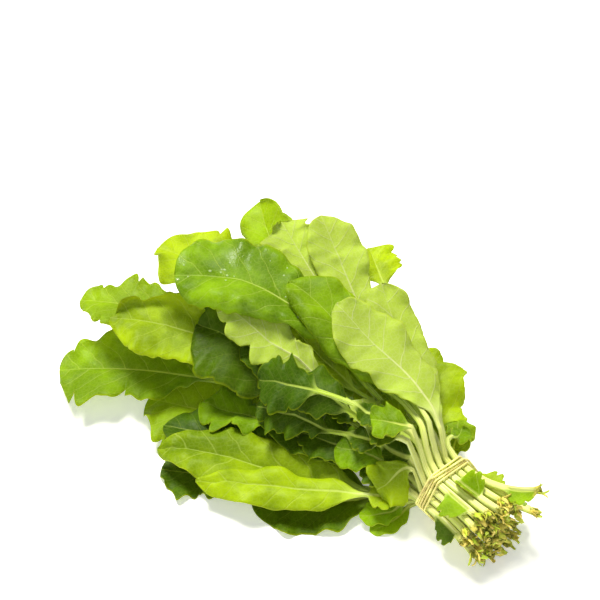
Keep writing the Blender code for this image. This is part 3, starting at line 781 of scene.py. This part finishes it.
def finished(name, made):
    """A smooth mesh of what bmesh made."""
    mesh = bpy.data.meshes.new(name)
    made.to_mesh(mesh)
    made.free()
    mesh.shade_smooth()
    return mesh


def leaf_mesh(name, leaf, top, bottom, read):
    """A closed leaf: a grid for the upper face, extruded into the lower one."""
    count, across = top.shape[:2]
    made = bmesh.new()
    row, column = made.verts.layers.int.new("row"), made.verts.layers.int.new("column")
    bmesh.ops.create_grid(made, x_segments=count - 1, y_segments=across - 1, size=1)
    for vert in made.verts:
        vert[row] = round((vert.co.x + 1) / 2 * (count - 1))
        vert[column] = round((vert.co.y + 1) / 2 * (across - 1))
    made.verts.ensure_lookup_table()
    upper = len(made.verts)
    bmesh.ops.extrude_face_region(made, geom=made.faces[:] + made.edges[:], use_keep_orig=True)
    made.verts.ensure_lookup_table()
    at = np.array([(vert[row], vert[column]) for vert in made.verts])
    below = np.arange(len(made.verts)) >= upper
    places = np.where(below[:, None], bottom[at[:, 0], at[:, 1]], top[at[:, 0], at[:, 1]])
    for vert, place in zip(made.verts, places):
        vert.co = place
    bmesh.ops.recalc_face_normals(made, faces=made.faces)
    mesh = finished(name, made)
    flat = np.stack([read.pop("share"), read.pop("across")], axis=2)[at[:, 0], at[:, 1]]
    read = {key: values[at[:, 0], at[:, 1]] for key, values in read.items()}
    read["under"] = below != leaf.over
    for key, values in read.items():
        mesh.attributes.new(key, "FLOAT", "POINT").data.foreach_set("value", values.astype(np.float32))
    corners = np.empty(len(mesh.loops), np.int32)
    mesh.loops.foreach_get("vertex_index", corners)
    mesh.uv_layers.new(name="leaf").data.foreach_set("uv", flat[corners].astype(np.float32).ravel())
    return mesh


# Patterns of the materials. Scales are per metre, and the sizes of veins are shares of a blade's length.
STRAY_SCALE, VEIN_STRAY = 45.0, 0.14
VEIN_HALF, VEIN_TAPER, VEIN_BLUR = 0.0022, 0.008, 0.0045
WHOLE_TURNS = 20.0  # keeps the veins' phase above 0
NET_SCALE, NET_LINE = 430.0, (0.02, 0.14)
PATCH_SCALE, SHEEN_SCALE, WET_SCALE = 38.0, 55.0, 48.0  # of a blade's tone, gloss and wet places
RELIEF_SCALE, STAIN_SCALE, GRAIN_SCALE = 420.0, 500.0, 900.0
MOTTLE_SCALE, RUBBED_SCALE, SPOT_SCALE, TABLE_SCALE = 260.0, 2400.0, 420.0, 6.0

STREAKS = (7.0, 22.0, 40.0)  # across a stem, along it and from leaf to leaf
STREAK_BLUR = 0.6
STEM_GREENS = (0.03, 0.095)  # metres from the cut end between which a stem turns green
RIB_COLOURS = (0.92, 0.35)  # how much of the blade's colour the midrib covers at its base and tip

# Tones of their patches, as factors of the colour that is set
UPPER_DARK, UPPER_LIGHT = (0.58, 0.58, 0.58), (1.3, 1.14, 1.1)
LOWER_DARK, LOWER_LIGHT = (0.88, 0.88, 0.88), (1.08, 1.08, 1.08)
RUBBER_DARK, RUBBER_LIGHT = (0.72, 0.72, 0.72), (1.22, 1.22, 1.22)
DEEP_CLEAR, DEEP_SHADED = 0.5, 0.75  # a dark leaf shows its veins half as much and is darker below
YELLOWED_MOST, YELLOWED_EDGE = 0.22, 0.4
NET_SHOWS, VEIN_SHOWS, VEIN_SHOWS_BELOW = 0.09, 0.26, 0.3
STEM_SIDE_SHADE, GREEN_STREAKS, PALE_STREAKS, STEM_ON_BLADE = 0.55, 0.75, 0.6, 0.6  # how strongly each shows; the first is painted shade on the sides of a stem

# Relief and gloss of the leaves; pairs are for the upper face and the lower one
VEIN_RELIEF, NET_RELIEF = (-0.7, 0.9), (-0.28, 0.22)
GRAIN_RELIEF, STEM_RIDGES = 0.45, 2.2
ROUGH, ROUGH_PATCHES, WET_COAT = (0.4, 0.6), 0.14, 0.35


def scaled(colour, factors):
    """A colour times its factors, at most white."""
    return [min(1, c * factor) for c, factor in zip(colour, factors)]


class Tree:
    """Writes a material's nodes."""

    def __init__(self, name):
        self.material = bpy.data.materials.new(name)
        self.material.use_nodes = True
        self.tree = self.material.node_tree
        self.tree.nodes.clear()

    def put(self, socket, value):
        """Links a socket to another one, or sets its value."""
        if isinstance(value, bpy.types.NodeSocket):
            self.tree.links.new(value, socket)
        elif socket.type == "RGBA" and len(value) == 3:
            socket.default_value = (*value, 1)
        else:
            socket.default_value = value

    def node(self, kind, inputs=None, output=0, **settings):
        """Adds a node and gives one of its outputs."""
        made = self.tree.nodes.new(f"ShaderNode{kind}")
        for key, value in settings.items():
            setattr(made, key, value)
        for key, value in (inputs or {}).items():
            self.put(made.inputs[key], value)
        return made.outputs[output] if made.outputs else None

    def place(self):
        """Place on the bunch, in metres."""
        return self.node("TexCoord", output="Object")

    def read(self, name):
        """One of the numbers that a mesh keeps for its points."""
        return self.node("Attribute", output="Fac", attribute_name=name)

    def math(self, operation, *values):
        """One step of arithmetic."""
        return self.node("Math", dict(enumerate(values)), operation=operation)

    def times(self, a, b, plus=None):
        """a times b, and plus if it is given."""
        return self.math("MULTIPLY", a, b) if plus is None else self.math("MULTIPLY_ADD", a, b, plus)

    def ramp(self, value, low, high, start=0.0, end=1.0):
        """A smooth ramp from start to end as value goes from low to high."""
        inputs = {"Value": value, "From Min": low, "From Max": high, "To Min": start, "To Max": end}
        return self.node("MapRange", inputs, interpolation_type="SMOOTHSTEP")

    def fade(self, share, start, end):
        """A smooth ramp from start to end as share goes from 0 to 1."""
        return self.ramp(share, 0.0, 1.0, start, end)

    def blend(self, factor, a, b, kind="MIX"):
        """Mixes two colours."""
        return self.node("Mix", {0: factor, 6: a, 7: b}, 2, data_type="RGBA", blend_type=kind)

    def noise(self, vector, scale, detail=2.0, roughness=0.5):
        """Soft random pattern with values round 0.5."""
        inputs = {"Vector": vector, "Scale": scale, "Detail": detail, "Roughness": roughness}
        return self.node("TexNoise", inputs)

    def bump(self, strength, distance, height):
        """Normals of a relief."""
        return self.node("Bump", {"Strength": strength, "Distance": distance, "Height": height})

    def surface(self, **inputs):
        """Principled shader, with underscores for the spaces in its inputs' names."""
        return self.node("BsdfPrincipled", {key.replace("_", " "): value for key, value in inputs.items()})

    def finish(self, shader):
        """Ends the material with this shader."""
        self.node("OutputMaterial", {"Surface": shader})
        return self.material


def side_veins(tree, place, share, across):
    """1 on the side veins, which start at the midrib and bend towards the tip, and 0 between them."""
    away = tree.math("ABSOLUTE", across)
    stray = tree.times(tree.noise(place, STRAY_SCALE), VEIN_STRAY, -VEIN_STRAY / 2)
    start = tree.times(away, -VEIN_SLANT, tree.math("ADD", share, stray))
    start = tree.times(tree.times(away, away), -VEIN_CURVE, start)
    right = tree.times(tree.math("GREATER_THAN", across, 0.0), 0.5)
    phase = tree.math("FRACT", tree.times(start, VEINS, tree.math("ADD", right, WHOLE_TURNS)))
    gap = tree.math("DIVIDE", tree.math("ABSOLUTE", tree.math("SUBTRACT", phase, 0.5)), VEINS)
    beside = tree.math("SUBTRACT", gap, tree.times(away, -VEIN_TAPER, VEIN_HALF))
    return tree.ramp(beside, 0.0, VEIN_BLUR, 1.0, 0.0)


def leaf_material(name, upper, look):
    """Leaf and stem: blades with veins and fine net, paler below, and a pale channelled stem."""
    tree = Tree(name)
    place = tree.place()
    uv = tree.node("UVMap", uv_map="leaf")
    share, across = (tree.node("SeparateXYZ", {0: uv}, output) for output in (0, 1))
    under, blade, tint = tree.read("under"), tree.read("blade"), tree.read("tint")
    from_rib, from_cut = tree.read("from_rib"), tree.read("stem")
    vein = tree.times(side_veins(tree, place, share, across), blade)
    net = tree.node("TexVoronoi", {"Vector": place, "Scale": NET_SCALE}, feature="DISTANCE_TO_EDGE")
    net = tree.times(tree.ramp(net, *NET_LINE, 1.0, 0.0), blade)
    rib = tree.ramp(tree.times(blade, 0.3, from_rib), 0.55, 1.15, 1.0, 0.0)

    # Blade: patchy faces, painted shade on single leaves, then net, veins and margins over them
    clear, shaded = (DEEP_CLEAR, DEEP_SHADED) if name == DEEP else (1.0, 1.0)
    lower = [c * shaded for c in look.underside]
    tone = tree.ramp(tree.noise(place, PATCH_SCALE, 3.0, 0.6), 0.35, 0.68)
    top = tree.blend(tone, scaled(upper, UPPER_DARK), scaled(upper, UPPER_LIGHT))
    top = tree.blend(tree.fade(tint, 0.0, YELLOWED_MOST * clear * clear), top, look.yellowed)
    # Painted shade: single leaves are darkened towards the deep colour as if they lay in shade
    top = tree.blend(tree.read("darker"), top, look.deep)
    low = tree.blend(tone, scaled(lower, LOWER_DARK), scaled(lower, LOWER_LIGHT))
    leaf = tree.blend(under, top, low)
    vein_tone = tree.blend(under, look.vein_colour, look.fibre_colour)
    leaf = tree.blend(tree.times(net, NET_SHOWS * clear), leaf, vein_tone)
    vein_shows = tree.fade(under, VEIN_SHOWS * clear, VEIN_SHOWS_BELOW)
    leaf = tree.blend(tree.times(vein, vein_shows), leaf, vein_tone)
    edge = tree.times(tree.ramp(tree.read("margin"), 0.94, 1.0), YELLOWED_EDGE)
    leaf = tree.blend(edge, leaf, look.yellowed)

    # Stem and midrib: streaks along them, painted shade on their sides, green by the blade and dried at the
    # cut end
    lines = {axis: tree.times(value, STREAKS[axis]) for axis, value in enumerate((from_rib, from_cut, tint))}
    streaks = tree.noise(tree.node("CombineXYZ", lines), 1.0, 3.0, STREAK_BLUR)
    stem = tree.blend(tree.ramp(from_cut, *STEM_GREENS), look.stem_colour, look.petiole_colour)
    # Painted shade: the sides of a stem and of the midrib are painted in the darker green
    stem = tree.blend(tree.ramp(from_rib, 0.35, 1.0, 0.0, STEM_SIDE_SHADE), stem, look.petiole_colour)
    stem = tree.blend(tree.ramp(streaks, 0.5, 0.68, 0.0, GREEN_STREAKS), stem, look.petiole_colour)
    stem = tree.blend(tree.ramp(streaks, 0.48, 0.34, 0.0, PALE_STREAKS), stem, look.fibre_colour)
    stem = tree.blend(tree.times(blade, STEM_ON_BLADE), stem, vein_tone)
    bare = tree.math("MAXIMUM", rib, tree.math("SUBTRACT", 1.0, blade))
    colour = tree.blend(tree.times(bare, tree.ramp(share, 0.2, 1.0, *RIB_COLOURS)), leaf, stem)
    stain = tree.times(tree.read("cut"), tree.ramp(tree.noise(place, GRAIN_SCALE), 0.3, 0.6, 0.7, 1.35))
    stained = tree.blend(tree.ramp(tree.noise(place, STAIN_SCALE), 0.4, 0.6), look.cut_colour, look.cut_dark)
    colour = tree.blend(tree.ramp(stain, 0.25, 0.75), colour, stained)

    # Relief and gloss: veins are sunk above and stand out below
    relief = tree.times(vein, tree.fade(under, *VEIN_RELIEF))
    relief = tree.times(net, tree.fade(under, *NET_RELIEF), relief)
    relief = tree.times(tree.noise(place, RELIEF_SCALE, 3.0), GRAIN_RELIEF, relief)
    ridges = tree.times(streaks, tree.times(blade, -STEM_RIDGES, STEM_RIDGES))
    bump = tree.bump(0.7, look.relief, tree.math("ADD", relief, ridges))
    sheen = tree.ramp(tree.noise(place, SHEEN_SCALE), 0.35, 0.65)
    rough = tree.times(sheen, ROUGH_PATCHES, tree.fade(under, *ROUGH))
    wet = tree.times(tree.read("wet"), tree.ramp(tree.noise(place, WET_SCALE), 0.5, 0.68, 0.0, WET_COAT))
    surface = tree.surface(
        Base_Color=colour, Roughness=rough, Normal=bump, Specular_IOR_Level=0.15,
        Coat_Weight=wet, Coat_Roughness=0.2, Coat_Normal=bump,
    )
    # Light passes both faces of a blade, so each takes the square root of its colour.
    half = tree.node("Gamma", {"Color": colour, "Gamma": 0.5})
    glow = tree.blend(1.0, half, look.glow_colour, "MULTIPLY")
    through = tree.node("BsdfTranslucent", {"Color": glow, "Normal": bump})
    return tree.finish(tree.node("MixShader", {0: tree.times(blade, look.glow), 1: surface, 2: through}))


def band_material(colour):
    """Natural rubber: tan, faintly mottled and rubbed."""
    tree = Tree("wound_rubber")
    place = tree.place()
    mottle = tree.ramp(tree.noise(place, MOTTLE_SCALE, 3.0), 0.35, 0.7)
    shade = tree.blend(mottle, scaled(colour, RUBBER_DARK), scaled(colour, RUBBER_LIGHT))
    bump = tree.bump(0.4, 0.1 * MM, tree.noise(place, RUBBED_SCALE))
    return tree.finish(tree.surface(Base_Color=shade, Roughness=tree.fade(mottle, 0.42, 0.58), Normal=bump))


def water_material():
    """Clear water that lets the green below show."""
    tree = Tree("water")
    return tree.finish(tree.surface(Base_Color=(0.75, 0.92, 0.5), Roughness=0.03, IOR=1.33, Alpha=0.35))


def torn_material(look):
    """Bruised green to dried brown."""
    tree = Tree("torn_stem")
    place = tree.place()
    colour = tree.blend(tree.ramp(tree.read("tint"), 0.3, 0.6), look.dried, look.bruised)
    spots = tree.ramp(tree.noise(place, SPOT_SCALE, 3.0), 0.4, 0.65, 0.0, 0.7)
    bump = tree.bump(0.6, 0.2 * MM, tree.noise(place, GRAIN_SCALE, 3.0))
    return tree.finish(
        tree.surface(Base_Color=tree.blend(spots, colour, look.browned), Roughness=0.6, Normal=bump)
    )


def table_material():
    """White matt table that gives off a little light of its own, so that it stays white."""
    tree = Tree("white_table")
    shade = tree.blend(tree.noise(tree.place(), TABLE_SCALE), (0.92, 0.925, 0.93), (0.95, 0.95, 0.95))
    return tree.finish(
        tree.surface(Base_Color=shade, Roughness=0.55, Emission_Color=shade, Emission_Strength=0.3)
    )


def drop_mesh(leaf, count, size):
    """Low rounded drops at random places on the upper face of a leaf."""
    draw = np.random.default_rng((SEED, count))
    under, blade = (leaf.attributes[key].data for key in ("under", "blade"))
    faces = [
        face
        for face in leaf.polygons
        if face.normal.z > 0.5 and all(under[v].value < 0.5 and blade[v].value > 0.99 for v in face.vertices)
    ]
    made = bmesh.new()
    for number in draw.choice(len(faces), count, replace=False):
        face = faces[number]
        radius = size * draw.uniform(DROP_LEAST, 1)
        shape = Matrix.Diagonal((radius * draw.uniform(1, DROP_LONGEST), radius, radius * DROP_HEIGHT, 1))
        turn = face.normal.to_track_quat("Z", "Y").to_matrix().to_4x4()
        place = Matrix.Translation(face.center) @ turn @ shape
        bmesh.ops.create_uvsphere(made, u_segments=16, v_segments=10, radius=1, matrix=place)
    return finished("water_drops", made)


def torn_strip(made, tint, draw, end, out, level, look):
    """One strip that leans out from a cut end and curls."""
    round_end = draw.uniform(0, 2 * math.pi)
    side = level * math.cos(round_end) + np.cross(level, out) * math.sin(round_end)
    length, width = look.length * draw.uniform(0.35, 1), look.width * draw.uniform(0.4, 1)
    lean, curl = draw.uniform(-0.2, 0.9), draw.uniform(0.3, 1.6) * draw.choice((-1, 1))
    tone = draw.uniform()
    edge = draw.uniform(0.5, 1.2, (2, STRIP_PARTS + 1))
    root = end - out * STRIP_DEPTH + side * STEM_RADIUS * STRIP_OUT
    grid = bmesh.ops.create_grid(made, x_segments=STRIP_PARTS, y_segments=2, size=0.5)
    for vert in grid["verts"]:
        u, v = vert.co.x + 0.5, vert.co.y
        ahead = (math.sin(lean + curl * u) - math.sin(lean)) / curl
        aside = (math.cos(lean) - math.cos(lean + curl * u)) / curl
        wide = width * v * edge[int(v > 0), round(u * STRIP_PARTS)] * (1 - 0.5 * u * u)
        place = root + length * (out * ahead + side * aside) + np.cross(out, side) * wide
        place[2] = max(place[2], look.thickness)
        vert.co = place
        vert[tint] = tone


def torn_mesh(look):
    """Short torn strips of skin and leaf round the cut ends."""
    draw = np.random.default_rng((SEED, look.count))
    _, shift = lay_solids()
    made = bmesh.new()
    tint = made.verts.layers.float.new("tint")
    for row, leaves in enumerate(ROWS):
        for column, leaf in enumerate(leaves):
            end, inner = (midrib(leaf, row, column) - shift)[:2]
            out = (end - inner) / np.linalg.norm(end - inner)
            level = np.cross(out, (0, 0, 1))
            level /= np.linalg.norm(level)
            for _ in range(look.count):
                torn_strip(made, tint, draw, end, out, level, look)
    bmesh.ops.solidify(made, geom=made.faces[:], thickness=look.thickness)
    return finished("torn_ends", made)


def band_route(steps):
    """Points of the band's strand: turns side by side round the stems, then one back across them."""
    places = ((row, column) for row, leaves in enumerate(ROWS) for column in range(len(leaves)))
    centres = np.array([band_place(*place) for place in places])
    forward, back_steps = int(BAND_TURNS * steps), steps // 2
    wide = STRAND_PITCH * BAND_TURNS
    points = []
    for step in range(forward + back_steps):
        angle = math.pi + 2 * math.pi * step / steps
        back = max(0, step - forward) / back_steps
        away = STEM_RADIUS + BAND_GAP + STRAND_RADIUS + OVERPASS * math.sqrt(math.sin(math.pi * back))
        reach = np.zeros(2)
        for turn in BAND_EASING:
            normal = np.array([math.cos(angle + turn), math.sin(angle + turn)])
            reach += (centres[(centres @ normal).argmax()] + away * normal) / len(BAND_EASING)
        spread = 1 + BAND_SPREAD * math.sin(angle)
        stray = BAND_STRAY * math.sin(STRAY_RATE * angle) * (back == 0)
        points.append((wide * spread * (min(step / forward, 1) - 0.5 - back) + stray, *reach))
    return np.array(points)


def place_piece(name, data, slot, nodes=()):
    """Puts a finished piece into the scene, on the bunch's body."""
    piece = bpy.data.objects.new(name, data)
    bpy.context.scene.collection.objects.link(piece)
    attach(piece, "root")
    if nodes:
        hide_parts(*nodes)


class LeafSettings(bpy.types.PropertyGroup):
    thickness: FloatProperty(
        name="Blade thickness", description="Thickness of a leaf blade", default=0.00045, unit="LENGTH"
    )
    teeth: FloatProperty(
        name="Notches", description="Depth of the deepest notch, as a share of the half width", default=0.45
    )
    ruffle: FloatProperty(
        name="Ruffle", description="Height of the waves along the edges", default=0.0007, unit="LENGTH"
    )
    swell: FloatProperty(
        name="Swell", description="Height of the broad waves of a blade", default=0.0011, unit="LENGTH"
    )
    quilting: FloatProperty(
        name="Quilting", description="How far the blade swells between its veins", default=0.00045,
        unit="LENGTH",
    )
    relief: FloatProperty(
        name="Relief", description="Height of the fine veins", default=0.00025, unit="LENGTH"
    )
    glow: FloatProperty(
        name="Glow", description="Share of the light that passes into a blade", default=0.42,
        subtype="FACTOR",
    )
    fresh: FloatVectorProperty(
        name="Fresh leaf", description="Upper face of most leaves", default=(0.22, 0.45, 0.004),
        subtype="COLOR",
    )
    young: FloatVectorProperty(
        name="Young leaf", description="Upper face of young leaves", default=(0.35, 0.56, 0.004),
        subtype="COLOR",
    )
    deep: FloatVectorProperty(
        name="Deep leaf", description="Upper face of dark leaves", default=(0.062, 0.155, 0.001),
        subtype="COLOR",
    )
    underside: FloatVectorProperty(
        name="Underside", description="Lower face of a leaf", default=(0.50, 0.66, 0.08), subtype="COLOR"
    )
    yellowed: FloatVectorProperty(
        name="Yellow tone", description="Tone that some leaves and all edges take",
        default=(0.50, 0.63, 0.004), subtype="COLOR",
    )
    vein_colour: FloatVectorProperty(
        name="Veins", description="Side veins", default=(0.62, 0.77, 0.16), subtype="COLOR"
    )
    stem_colour: FloatVectorProperty(
        name="Stem", description="Stem near the band", default=(0.82, 0.82, 0.28), subtype="COLOR"
    )
    petiole_colour: FloatVectorProperty(
        name="Upper stem", description="Stem near its blade", default=(0.42, 0.58, 0.04), subtype="COLOR"
    )
    fibre_colour: FloatVectorProperty(
        name="Fibres", description="Pale streaks on a stem", default=(0.90, 0.91, 0.60), subtype="COLOR"
    )
    cut_colour: FloatVectorProperty(
        name="Cut end", description="Dried cut end", default=(0.56, 0.50, 0.09), subtype="COLOR"
    )
    cut_dark: FloatVectorProperty(
        name="Cut end, dark", description="Dark parts of a cut end", default=(0.15, 0.17, 0.015),
        subtype="COLOR",
    )
    glow_colour: FloatVectorProperty(
        name="Glow colour", description="Tint of light through a blade", default=(1.0, 0.92, 0.25),
        subtype="COLOR",
    )


class BandSettings(bpy.types.PropertyGroup):
    colour: FloatVectorProperty(
        name="Rubber", description="Colour of the band", default=(0.95, 0.80, 0.27), subtype="COLOR"
    )
    steps: IntProperty(name="Steps", description="Points in each turn of the band", default=72)


class DropSettings(bpy.types.PropertyGroup):
    count: IntProperty(name="Drops", description="Number of water drops", default=20)
    size: FloatProperty(
        name="Drop radius", description="Radius of the largest drop", default=0.0009, unit="LENGTH"
    )


class TornSettings(bpy.types.PropertyGroup):
    count: IntProperty(name="Strips", description="Torn strips on each cut end", default=4)
    length: FloatProperty(
        name="Length", description="Length of the longest strip", default=0.0065, unit="LENGTH"
    )
    width: FloatProperty(
        name="Width", description="Width of the widest strip", default=0.0036, unit="LENGTH"
    )
    thickness: FloatProperty(
        name="Thickness", description="Thickness of a strip", default=0.0003, unit="LENGTH"
    )
    dried: FloatVectorProperty(
        name="Dried", description="Colour of dried strips", default=(0.88, 0.72, 0.15), subtype="COLOR"
    )
    bruised: FloatVectorProperty(
        name="Bruised", description="Colour of fresh strips", default=(0.48, 0.64, 0.03), subtype="COLOR"
    )
    browned: FloatVectorProperty(
        name="Browned", description="Colour of their dark spots", default=(0.44, 0.35, 0.03),
        subtype="COLOR",
    )


class StageSettings(bpy.types.PropertyGroup):
    floor_size: FloatProperty(name="Floor size", description="Half its side", default=4.0, unit="LENGTH")
    key: FloatProperty(name="Key light", description="Strength of the main light", default=5.4)
    fill: FloatProperty(name="Fill light", description="Strength of the second light", default=0.75)
    sky: FloatProperty(
        name="Surroundings", description="Strength of the light from all round", default=0.28
    )


class ARUGULA_OT_leaves(bpy.types.Operator):
    """Models every leafy stem over its solid"""

    bl_idname = "arugula.leaves"
    bl_label = "Leafy stems"

    def execute(self, context):
        look = context.scene.arugula_leaves
        upper = {FRESH: look.fresh, YOUNG: look.young, PALE: look.fresh, DEEP: look.deep}
        made = {slot: leaf_material(slot, colour, look) for slot, colour in upper.items()}
        for place, leaf, top, bottom, read in lay_fine(look):
            mesh = leaf_mesh(f"leafy_stem_{place}", leaf, top, bottom, read)
            mesh.materials.append(made[leaf.slot])
            place_piece(f"leafy_stem_{place}", mesh, leaf.slot, [f"leaf_{place}"])
        return {"FINISHED"}


class ARUGULA_OT_band(bpy.types.Operator):
    """Winds the rubber band round the stems"""

    bl_idname = "arugula.band"
    bl_label = "Rubber band"

    def execute(self, context):
        look = context.scene.arugula_band
        _, shift = lay_solids()
        curve = bpy.data.curves.new("wound_band", "CURVE")
        curve.dimensions = "3D"
        curve.bevel_depth = STRAND_RADIUS
        curve.bevel_resolution = STRAND_ROUNDNESS
        spline = curve.splines.new("POLY")
        route = band_route(look.steps)
        spline.points.add(len(route) - 1)
        for point, place in zip(spline.points, route - shift):
            point.co = (*place, 1)
        spline.use_cyclic_u = True
        curve.materials.append(band_material(look.colour))
        place_piece("wound_band", curve, "rubber_band", ["rubber_band"])
        return {"FINISHED"}


class ARUGULA_OT_torn(bpy.types.Operator):
    """Frays the cut ends"""

    bl_idname = "arugula.torn"
    bl_label = "Torn ends"

    def execute(self, context):
        look = context.scene.arugula_torn
        mesh = torn_mesh(look)
        mesh.materials.append(torn_material(look))
        place_piece("torn_ends", mesh, None)
        return {"FINISHED"}


class ARUGULA_OT_drops(bpy.types.Operator):
    """Scatters water drops over the top leaf"""

    bl_idname = "arugula.drops"
    bl_label = "Water drops"

    def execute(self, context):
        look = context.scene.arugula_drops
        leaf = bpy.data.objects["leafy_stem_%d_%d" % WET].data
        mesh = drop_mesh(leaf, look.count, look.size)
        mesh.materials.append(water_material())
        place_piece("water_drops", mesh, None)
        return {"FINISHED"}


class ARUGULA_OT_stage(bpy.types.Operator):
    """Sets up the white table, the studio light and the camera"""

    bl_idname = "arugula.stage"
    bl_label = "Table, light and camera"

    def execute(self, context):
        look, scene = context.scene.arugula_stage, context.scene
        made = bmesh.new()
        bmesh.ops.create_grid(made, x_segments=1, y_segments=1, size=look.floor_size)
        bmesh.ops.translate(made, verts=made.verts, vec=(0, 0, -TABLE_GAP))
        mesh = finished("table", made)
        mesh.materials.append(table_material())
        table = bpy.data.objects.new("table", mesh)
        scene.collection.objects.link(table)
        for name, strength in (("key_light", look.key), ("fill_light", look.fill)):
            soft, towards, colour = LIGHTS[name]
            light = bpy.data.lights.new(name, "SUN")
            light.energy, light.angle, light.color = strength, math.radians(soft), colour
            lamp = bpy.data.objects.new(name, light)
            lamp.rotation_euler = Vector(towards).to_track_quat("-Z", "Y").to_euler()
            scene.collection.objects.link(lamp)
        scene.world = bpy.data.worlds.new("studio")
        scene.world.use_nodes = True
        background = scene.world.node_tree.nodes["Background"]
        background.inputs["Color"].default_value = SKY_COLOUR
        background.inputs["Strength"].default_value = look.sky
        scene.view_settings.view_transform = "Standard"
        self.camera(scene)
        return {"FINISHED"}

    def camera(self, scene):
        """The photograph's view."""
        _, shift = lay_solids()
        turn, rise = math.radians(CAMERA_TURN), math.radians(CAMERA_RISE)
        right = Vector((math.cos(turn), math.sin(turn), 0))
        back = Vector((math.sin(turn) * math.cos(rise), -math.cos(turn) * math.cos(rise), math.sin(rise)))
        data = bpy.data.cameras.new("photo_view")
        data.lens, data.sensor_width = CAMERA_LENS
        data.clip_start, data.clip_end = CAMERA_CLIP
        camera = bpy.data.objects.new("photo_view", data)
        axes = Matrix((right, back.cross(right), back)).transposed()
        camera.matrix_world = Matrix.Translation(Vector(CAMERA_PLACE) - Vector(shift)) @ axes.to_4x4()
        scene.collection.objects.link(camera)
        scene.camera = camera


class ARUGULA_PT_panel(bpy.types.Panel):
    """Lists the pieces and their settings"""

    bl_label = "Arugula bunch"
    bl_space_type = "VIEW_3D"
    bl_region_type = "UI"
    bl_category = "Arugula"

    def draw(self, context):
        for step in STEPS:
            self.layout.operator(step.bl_idname)
        for group in SETTINGS:
            settings = getattr(context.scene, group)
            box = self.layout.box()
            for name in settings.__annotations__:
                box.prop(settings, name)


STEPS = (ARUGULA_OT_leaves, ARUGULA_OT_band, ARUGULA_OT_torn, ARUGULA_OT_drops, ARUGULA_OT_stage)
SETTINGS = {
    "arugula_leaves": LeafSettings,
    "arugula_band": BandSettings,
    "arugula_torn": TornSettings,
    "arugula_drops": DropSettings,
    "arugula_stage": StageSettings,
}


def register():
    for kind in (*SETTINGS.values(), *STEPS, ARUGULA_PT_panel):
        bpy.utils.register_class(kind)
    for name, kind in SETTINGS.items():
        setattr(bpy.types.Scene, name, PointerProperty(type=kind))


def unregister():
    for name in SETTINGS:
        delattr(bpy.types.Scene, name)
    for kind in reversed((*SETTINGS.values(), *STEPS, ARUGULA_PT_panel)):
        bpy.utils.unregister_class(kind)


def main():
    register()
    bpy.ops.arugula.leaves()
    bpy.ops.arugula.band()
    bpy.ops.arugula.torn()
    bpy.ops.arugula.drops()
    bpy.ops.arugula.stage()


if __name__ == "__main__":
    main()
